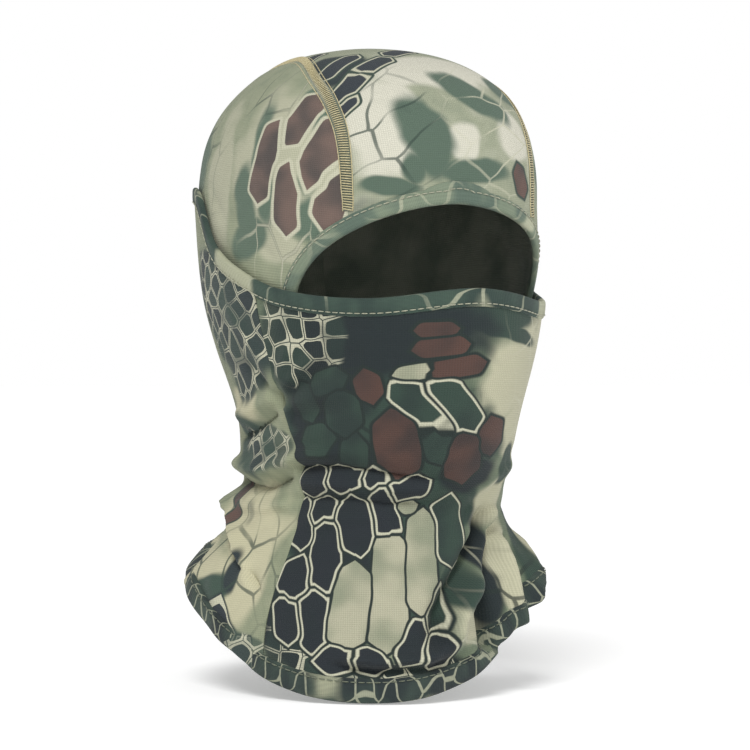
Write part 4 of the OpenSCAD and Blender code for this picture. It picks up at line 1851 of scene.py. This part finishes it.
def mask_folds() -> tuple[Fold, ...]:
    """Folds of the worn tube, from the ears down to the hem."""
    roll, crease, lap = FoldKind.ROLL, FoldKind.CREASE, FoldKind.LAP
    return (
        # Gathers that run out from the pinch in the side seam below the ear
        Fold(((-70, 171), (-68, 182)), 2.8, -5.0, crease, 3, 3),
        Fold(((-72, 175), (-83, 180), (-100, 185), (-122, 186)), 4.4, 4.0, fade_in=6, fade_out=22),
        Fold(((-72, 182), (-84, 188), (-99, 194), (-124, 198)), 3.6, -4.2, crease, 6, 20),
        Fold(((-70, 172), (-76, 158), (-84, 143), (-96, 128)), 4.6, 2.2, fade_in=6),
        Fold(((-74, 172), (-84, 162), (-96, 154)), 3.6, -2.0, fade_in=5),
        # Tension folds across the cheek
        Fold(((-67, 174), (-56, 162), (-42, 153), (-28, 145)), 4.0, 2.7, crease, 5, 34),
        Fold(((-67, 179), (-55, 168), (-41, 160), (-28, 154)), 4.4, -2.6, roll, 5, 34),
        Fold(((-67, 178), (-48, 175), (-28, 170)), 4.2, 2.0, roll, 5, 30),
        Fold(((-66, 184), (-50, 184), (-30, 182)), 4.0, -1.8, roll, 5, 30),
        Fold(((-68, 170), (-60, 154), (-48, 142)), 3.8, 1.8, roll, 5, 16),
        # Cloth bunched round the neck
        Fold(((-138, 210), (-117, 211), (-85, 213), (-64, 206), (-46, 203), (-34, 201)),
             3.8, 5.4, roll, 14, 22),
        Fold(((-66, 210), (-46, 209), (-34, 210), (-18, 213), (2, 216)), 3.4, -6.0, crease, 8, 26),
        Fold(((-136, 218), (-110, 220), (-86, 222), (-64, 214)), 3.4, -5.2, crease, 8, 10),
        Fold(((-64, 217), (-44, 218), (-24, 220), (-4, 222)), 3.2, 2.6, roll, 8, 20),
        Fold(((-64, 225), (-44, 225), (-24, 227), (0, 226)), 3.4, -3.8, crease, 8, 20),
        Fold(((-60, 233), (-40, 234), (-20, 234)), 3.6, 1.6),
        Fold(((-140, 226), (-110, 229), (-84, 231), (-66, 228)), 4.0, 3.0, roll, 10, 8),
        # Long folds that fall from the neck behind the shoulder
        Fold(((-134, 226), (-112, 236), (-95, 246), (-82, 259), (-76, 274)), 4.0, 7.5, crease, 14, 16),
        Fold(((-123, 236), (-97, 250), (-80, 262), (-68, 276)), 4.2, -5.4, crease, 10, 14),
        Fold(((-152, 240), (-134, 244), (-122, 256), (-114, 270)), 5.0, -8.0, crease, 10, 12),
        Fold(((-100, 262), (-92, 276), (-90, 290)), 5.0, 2.4),
        # Deep pleat at the wearer's left of the throat
        Fold(((25, 226), (20, 246), (11, 261), (1, 272), (-4, 282), (-7, 302)), 5.6, 9.5, lap, 14, 14),
        Fold(((28, 232), (23, 250), (17, 264), (14, 280), (15, 302)), 6.5, -12.5, roll, 12, 5),
        Fold(((29, 240), (31, 257), (30, 272), (29, 292)), 3.6, 6.5, roll, 10, 5),
        Fold(((37, 240), (38, 257), (37, 272), (35, 290)), 3.4, -3.5, roll, 10, 5),
        Fold(((58, 242), (50, 259), (43, 273), (37, 292)), 5.4, 5.0, crease, 10, 5),
        Fold(((30, 214), (18, 224), (2, 236)), 4.4, -2.6),
        Fold(((40, 208), (24, 214), (8, 222)), 4.4, 2.2),
        # Behind
        Fold(((112, 208), (150, 214), (178, 209), (205, 214), (226, 212)), 4.4, 4.4, roll),
        Fold(((112, 219), (150, 225), (178, 218), (205, 224), (226, 224)), 3.8, -5.0, crease),
        Fold(((62, 214), (84, 222), (110, 226)), 4.0, -4.0, crease),
        Fold(((62, 206), (84, 212), (110, 216)), 4.4, 3.4),
        Fold(((70, 171), (68, 182)), 2.8, -4.0, crease, 3, 3),
        Fold(((72, 175), (84, 181), (102, 186), (120, 187)), 4.4, 3.4, fade_in=6, fade_out=22),
        Fold(((72, 182), (86, 189), (104, 194)), 3.6, -3.4, crease, 6, 16),
        Fold(((66, 176), (54, 168), (42, 164)), 4.2, 1.8, roll, 5, 20),
        Fold(((150, 150), (166, 172), (172, 196)), 6.0, 2.2),
        Fold(((-150, 150), (-166, 172), (-171, 196)), 6.0, 2.2),
        Fold(((150, 232), (156, 248), (154, 262)), 6.0, -4.0),
        Fold(((-164, 232), (-160, 246), (-158, 262)), 6.0, 3.6),
        # Hem turned under a little below the throat
        Fold(((-44, 302), (-28, 305), (-12, 304), (0, 298)), 3.6, 4.2, lap, 14, 14),
    )


def hood_folds() -> tuple[Fold, ...]:
    """Soft folds of the hood above the ears and round the face opening."""
    return (
        Fold(((-104, 84), (-92, 92), (-80, 112)), 5.0, 1.3),
        Fold(((-110, 66), (-100, 80), (-88, 100)), 4.0, -1.0),
        Fold(((-60, 112), (-68, 104), (-80, 98)), 3.5, -0.9),
        Fold(((104, 84), (92, 92), (80, 112)), 5.0, 1.2),
        Fold(((60, 112), (70, 104), (82, 98)), 3.5, -0.9),
    )


def laid_out(plan: dict[Tone, tuple[tuple[float, ...], ...]]) -> tuple[Patch, ...]:
    """A print's patches from a plan of them.

    Args:
        plan: By tone, each patch's angle, drop, half width, half height and turn.

    Returns:
        The patches, tone by tone.
    """
    return tuple(Patch(tone, *sizes) for tone, group in plan.items() for sizes in group)


def mask_patches() -> tuple[Patch, ...]:
    """Print of the front panel."""
    tone = Tone
    return laid_out({
        tone.DARK: (
            (-36, 170, 50, 58), (-10, 205, 32, 30), (-34, 240, 52, 60), (6, 226, 12, 14),
            (4, 268, 12, 14), (46, 262, 8, 34), (4, 136, 26, 8), (24, 210, 8, 10),
            (12, 145, 18, 4, -10)),
        tone.DEEP: (
            (-30, 146, 44, 20), (-48, 172, 26, 24), (-46, 205, 26, 18), (-44, 240, 26, 40),
            (-50, 290, 26, 24), (-20, 312, 60, 12), (18, 262, 9, 30), (6, 213, 16, 9)),
        tone.LIGHT: (
            (32, 156, 30, 28), (14, 168, 20, 20), (24, 190, 18, 18), (22, 226, 14, 14),
            (30, 262, 9, 30), (8, 286, 14, 12), (52, 250, 9, 14)),
        tone.FINE: ((-54, 146, 24, 26), (-26, 313, 60, 12), (-58, 304, 12, 14)),
        tone.LINED: ((-42, 186, 30, 28), (-16, 190, 26, 24), (30, 276, 40, 20)),
        tone.TRACED: ((34, 160, 28, 44), (8, 250, 14, 20), (4, 290, 16, 12)),
        tone.RUST: (
            (-12, 143, 7.4, 3.4, 4), (-11, 151, 9.2, 4.2, 8), (-7, 161, 10.5, 4.8, 14),
            (-30, 171, 6.2, 7.0, 14), (-21, 200, 9.4, 16.5, 8), (0, 205, 8.4, 12.0, 16),
            (8, 194, 7.4, 8.4, 14)),
        tone.SCALE: (
            (-17, 163, 7.4, 3.6, 14), (-15, 229, 4.6, 3.4, 10), (-36, 277, 8.8, 19.0, -4),
            (-23, 269, 8.6, 27.5, -4), (-11, 256, 8.6, 24.0, -6)),
        tone.SLATE: (
            (-15, 182, 6.4, 16.5, 34), (-6, 179, 6.6, 15.0, 38), (-7, 279, 5.2, 11.0, -16),
            (1, 241, 8.8, 16.0, 4)),
        tone.SHADE: (
            (-54, 178, 7.0, 9.0, 20), (-39, 184, 9.0, 10.0, 8), (-50, 197, 9.0, 8.0, 4),
            (-35, 203, 7.0, 8.0, -6), (-10, 196, 6.0, 11.0, 20), (-44, 168, 9.0, 6.0, 12)),
        tone.INK: (
            (-53, 217, 8.6, 7.4, 24), (-39, 214, 9.2, 7.0, 20), (-49, 231, 7.8, 6.2, 16),
            (-58, 238, 6.4, 10.9, 8), (-46, 253, 7.8, 16.4, 6), (-35, 238, 8.8, 13.4, 10),
            (-24, 232, 6.4, 12.4, 12), (-26, 213, 8.6, 5.8, 16), (-16, 220, 9.0, 6.0, 22),
            (-56, 264, 7.8, 8.8, -8), (-48, 284, 6.6, 14.4, 2), (-58, 284, 6.2, 10.4, 6),
            (-40, 302, 7.8, 7.0, 10), (-30, 303, 7.2, 6.6, -12), (-16, 293, 7.4, 9.4, -26),
            (-8, 298, 6.6, 7.4, -20)),
    })


def nape_patches() -> tuple[Patch, ...]:
    """Print of the back panel."""
    tone = Tone
    return laid_out({
        tone.DARK: (
            (-92, 130, 44, 44), (-96, 200, 26, 16), (-100, 274, 22, 8, 20), (-128, 262, 16, 8),
            (-150, 110, 30, 26), (100, 216, 26, 20), (-170, 214, 44, 20)),
        tone.DEEP: (
            (-92, 126, 38, 34), (-87, 262, 6, 10), (146, 186, 34, 30), (92, 134, 40, 40),
            (84, 270, 20, 18)),
        tone.FINE: ((-92, 130, 40, 44), (-86, 200, 26, 12), (-82, 306, 26, 12), (92, 134, 40, 44)),
        tone.LIGHT: (
            (-92, 238, 34, 20), (-98, 178, 22, 9), (-118, 262, 40, 14), (-80, 262, 16, 24),
            (178, 130, 46, 30), (120, 236, 44, 20)),
        tone.NAVY: ((-78, 300, 18, 14), (146, 190, 34, 34), (-166, 222, 30, 14), (84, 270, 22, 18)),
        tone.LINED: ((-104, 262, 60, 40), (180, 150, 90, 60), (120, 240, 60, 40)),
        tone.RUST: ((-106, 236, 5, 5), (-110, 224, 5, 6)),
        tone.TRACED: ((-150, 130, 40, 60),),
        tone.BROWN: (
            (172, 112, 8, 17, -8), (-174, 118, 7.5, 18, 6), (-175, 152, 7, 16, -12),
            (170, 150, 7.5, 15, 10)),
        tone.CREAM: ((170, 244, 30, 20),),
    })


def crown_centre_patches() -> tuple[Patch, ...]:
    """Print of the crown's centre panel."""
    tone = Tone
    return laid_out({
        tone.LIGHT: (
            (-26, 44, 20, 28), (-4, 16, 30, 14), (12, 12, 34, 12), (3, 52, 9, 8, 20),
            (28, 46, 14, 14), (176, 70, 26, 20)),
        tone.DARK: (
            (-10, 50, 13, 20, 10), (14, 28, 22, 9, -30), (6, 66, 22, 6), (-16, 64, 7, 9),
            (-22, 74, 14, 5), (40, 24, 14, 10), (178, 30, 30, 34)),
        tone.DEEP: ((-46, 14, 14, 16),),
        tone.LINED: ((-26, 46, 26, 34), (178, 60, 60, 90)),
        tone.TRACED: ((24, 44, 32, 38),),
        tone.RUST: ((28, 69, 5.4, 7.6, 20),),
        tone.INK: (
            (-38, 25, 4.6, 12.5, -52), (-45, 13, 4.4, 12.5, -56), (-28, 13, 4.2, 12.0, -60),
            (-39, 36, 3.4, 8.0, -56), (-70, 9, 4.4, 11.0, -58), (-6, 4, 4.4, 12.0, -62)),
        tone.NAVY: ((178, 26, 34, 22),),
        tone.CREAM: ((178, 62, 26, 18),),
    })


def crown_side_patches(hand: int) -> tuple[Patch, ...]:
    """Print of one side of the crown.

    Args:
        hand: 1 for the wearer's left, -1 for the right.

    Returns:
        The patches.
    """
    tone = Tone
    if hand > 0:
        return laid_out({
            tone.DARK: ((60, 60, 26, 22, 20), (110, 70, 22, 22)),
            tone.LIGHT: ((90, 46, 30, 20), (130, 90, 24, 20)),
            tone.NAVY: ((58, 96, 26, 20),),
            tone.CREAM: ((88, 66, 24, 18),),
            tone.BROWN: ((120, 46, 7, 18, 10), (104, 40, 7, 16, 4), (110, 74, 6.5, 15, -6)),
            tone.LINED: ((90, 60, 70, 60),),
            tone.DEEP: ((60, 96, 24, 16),),
        })
    return laid_out({
        tone.LIGHT: ((-60, 60, 40, 40), (-98, 66, 15, 40), (-60, 104, 16, 7)),
        tone.DARK: (
            (-70, 58, 8, 30, 8), (-79, 82, 9, 20), (-78, 97, 15, 8, 24), (-48, 92, 14, 9, 30),
            (-50, 32, 10, 8), (-46, 52, 5, 30, -10), (-130, 50, 26, 26)),
        tone.LINED: ((-66, 26, 26, 20), (-62, 98, 14, 12), (-130, 56, 40, 40)),
        tone.BROWN: (
            (-68, 60, 7.2, 20.0, -12), (-54, 41, 7.4, 14.5, -20), (-45, 58, 8.2, 19.5, -18),
            (-58, 79, 6.8, 15.5, -6), (-42, 80, 7.0, 14.0, -16)),
        tone.TRACED: ((-62, 104, 26, 14), (-60, 24, 20, 14)),
        tone.NAVY: ((-130, 40, 24, 20),),
    })


def finishes(hood: Hood, tube: NeckTube) -> dict[str, bpy.types.Material]:
    """Builds every finish once.

    Args:
        hood: The hood, for places on its panels.
        tube: The tube, for places on its panels.

    Returns:
        Materials by name.
    """
    sage, cream = shade(150, 155, 132), shade(176, 178, 152)
    prints = (
        CamoPrint("mask_print", tube.front_spot, mask_patches(), ground=shade(108, 120, 98),
                  dark=shade(48, 66, 57), deep=shade(31, 40, 42), dark_line=shade(32, 43, 40),
                  navy=shade(33, 39, 44), brown=shade(82, 60, 53), light=shade(182, 180, 154),
                  cream=shade(170, 168, 145), cell=(17.0, 24.0), turn=-12.0),
        CamoPrint("nape_print", tube.back_spot, nape_patches(), ground=shade(140, 146, 120),
                  light=shade(190, 186, 156), cell=(18.0, 26.0), turn=18.0, shift=(210.0, 40.0)),
        CamoPrint("crown_centre_print", hood.spot("centre"), crown_centre_patches(), ground=sage,
                  light=shade(202, 200, 184), dark=shade(84, 102, 88), cell=(17.0, 34.0), turn=-58.0,
                  shift=(90.0, 130.0)),
        CamoPrint("crown_right_print", hood.spot("right"), crown_side_patches(-1), ground=shade(146, 152, 126),
                  dark=shade(92, 110, 94), brown=shade(112, 94, 86), cell=(17.0, 36.0), turn=-14.0,
                  shift=(320.0, 75.0)),
        CamoPrint("crown_left_print", hood.spot("left"), crown_side_patches(1), ground=shade(146, 152, 126),
                  dark=shade(92, 110, 94), brown=shade(112, 94, 86), cell=(19.0, 32.0), turn=12.0,
                  shift=(150.0, 260.0)),
        BindingPrint("face_edge_print", shade(120, 132, 112), shade(88, 104, 92), cream),
        BindingPrint("mask_edge_print", shade(60, 78, 68), shade(48, 64, 58), shade(168, 170, 144),
                     ((-118.0, 15.0), (58.0, 10.0))),
        BindingPrint("neck_edge_print", shade(58, 72, 64), shade(36, 45, 46), shade(150, 152, 128),
                     cell=(9.5, 8.5), lined=0.3),
        ClothReverse(),
        Thread("seam_thread", shade(200, 190, 150), shade(158, 146, 108)),
        Thread("seam_band", shade(160, 152, 116), shade(124, 118, 88)),
        Thread("sewing_thread", shade(176, 176, 154), shade(120, 122, 104)),
        Thread("hem_thread", shade(112, 118, 98), shade(78, 84, 72)),
        Thread("overlock_thread", shade(92, 102, 86), shade(62, 70, 60)),
    )
    return {finish.name: finish.made() for finish in prints}


def main() -> None:
    """Builds the mask and its studio."""
    logging.basicConfig(level=logging.INFO, format="%(message)s")
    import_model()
    form = HeadForm(folds=mask_folds(), hood_folds=hood_folds())
    hood = Hood(form, FaceOpening(form), {})
    tube = NeckTube(form, {})
    hood.printed = tube.printed = finishes(hood, tube)
    hood.build_panels()
    hood.build_binding()
    hood.build_seams()
    hood.build_join()
    tube.build_panels()
    tube.edge("mask_edge", tube.mask_edge, form.upper_hem, 1, (720, 28))
    tube.edge("neck_edge", tube.neck_edge, form.lower_hem, -1, (720, 28))
    tube.build_side_seams()
    hood.dress()
    tube.dress()
    for part in (hood, tube):
        for name, piece in part.pieces.items():
            log.info("%-28s %7d faces", name, len(piece.data.polygons))
    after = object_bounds()
    Studio().build(float(after[0][2]))


if __name__ == "__main__":
    main()
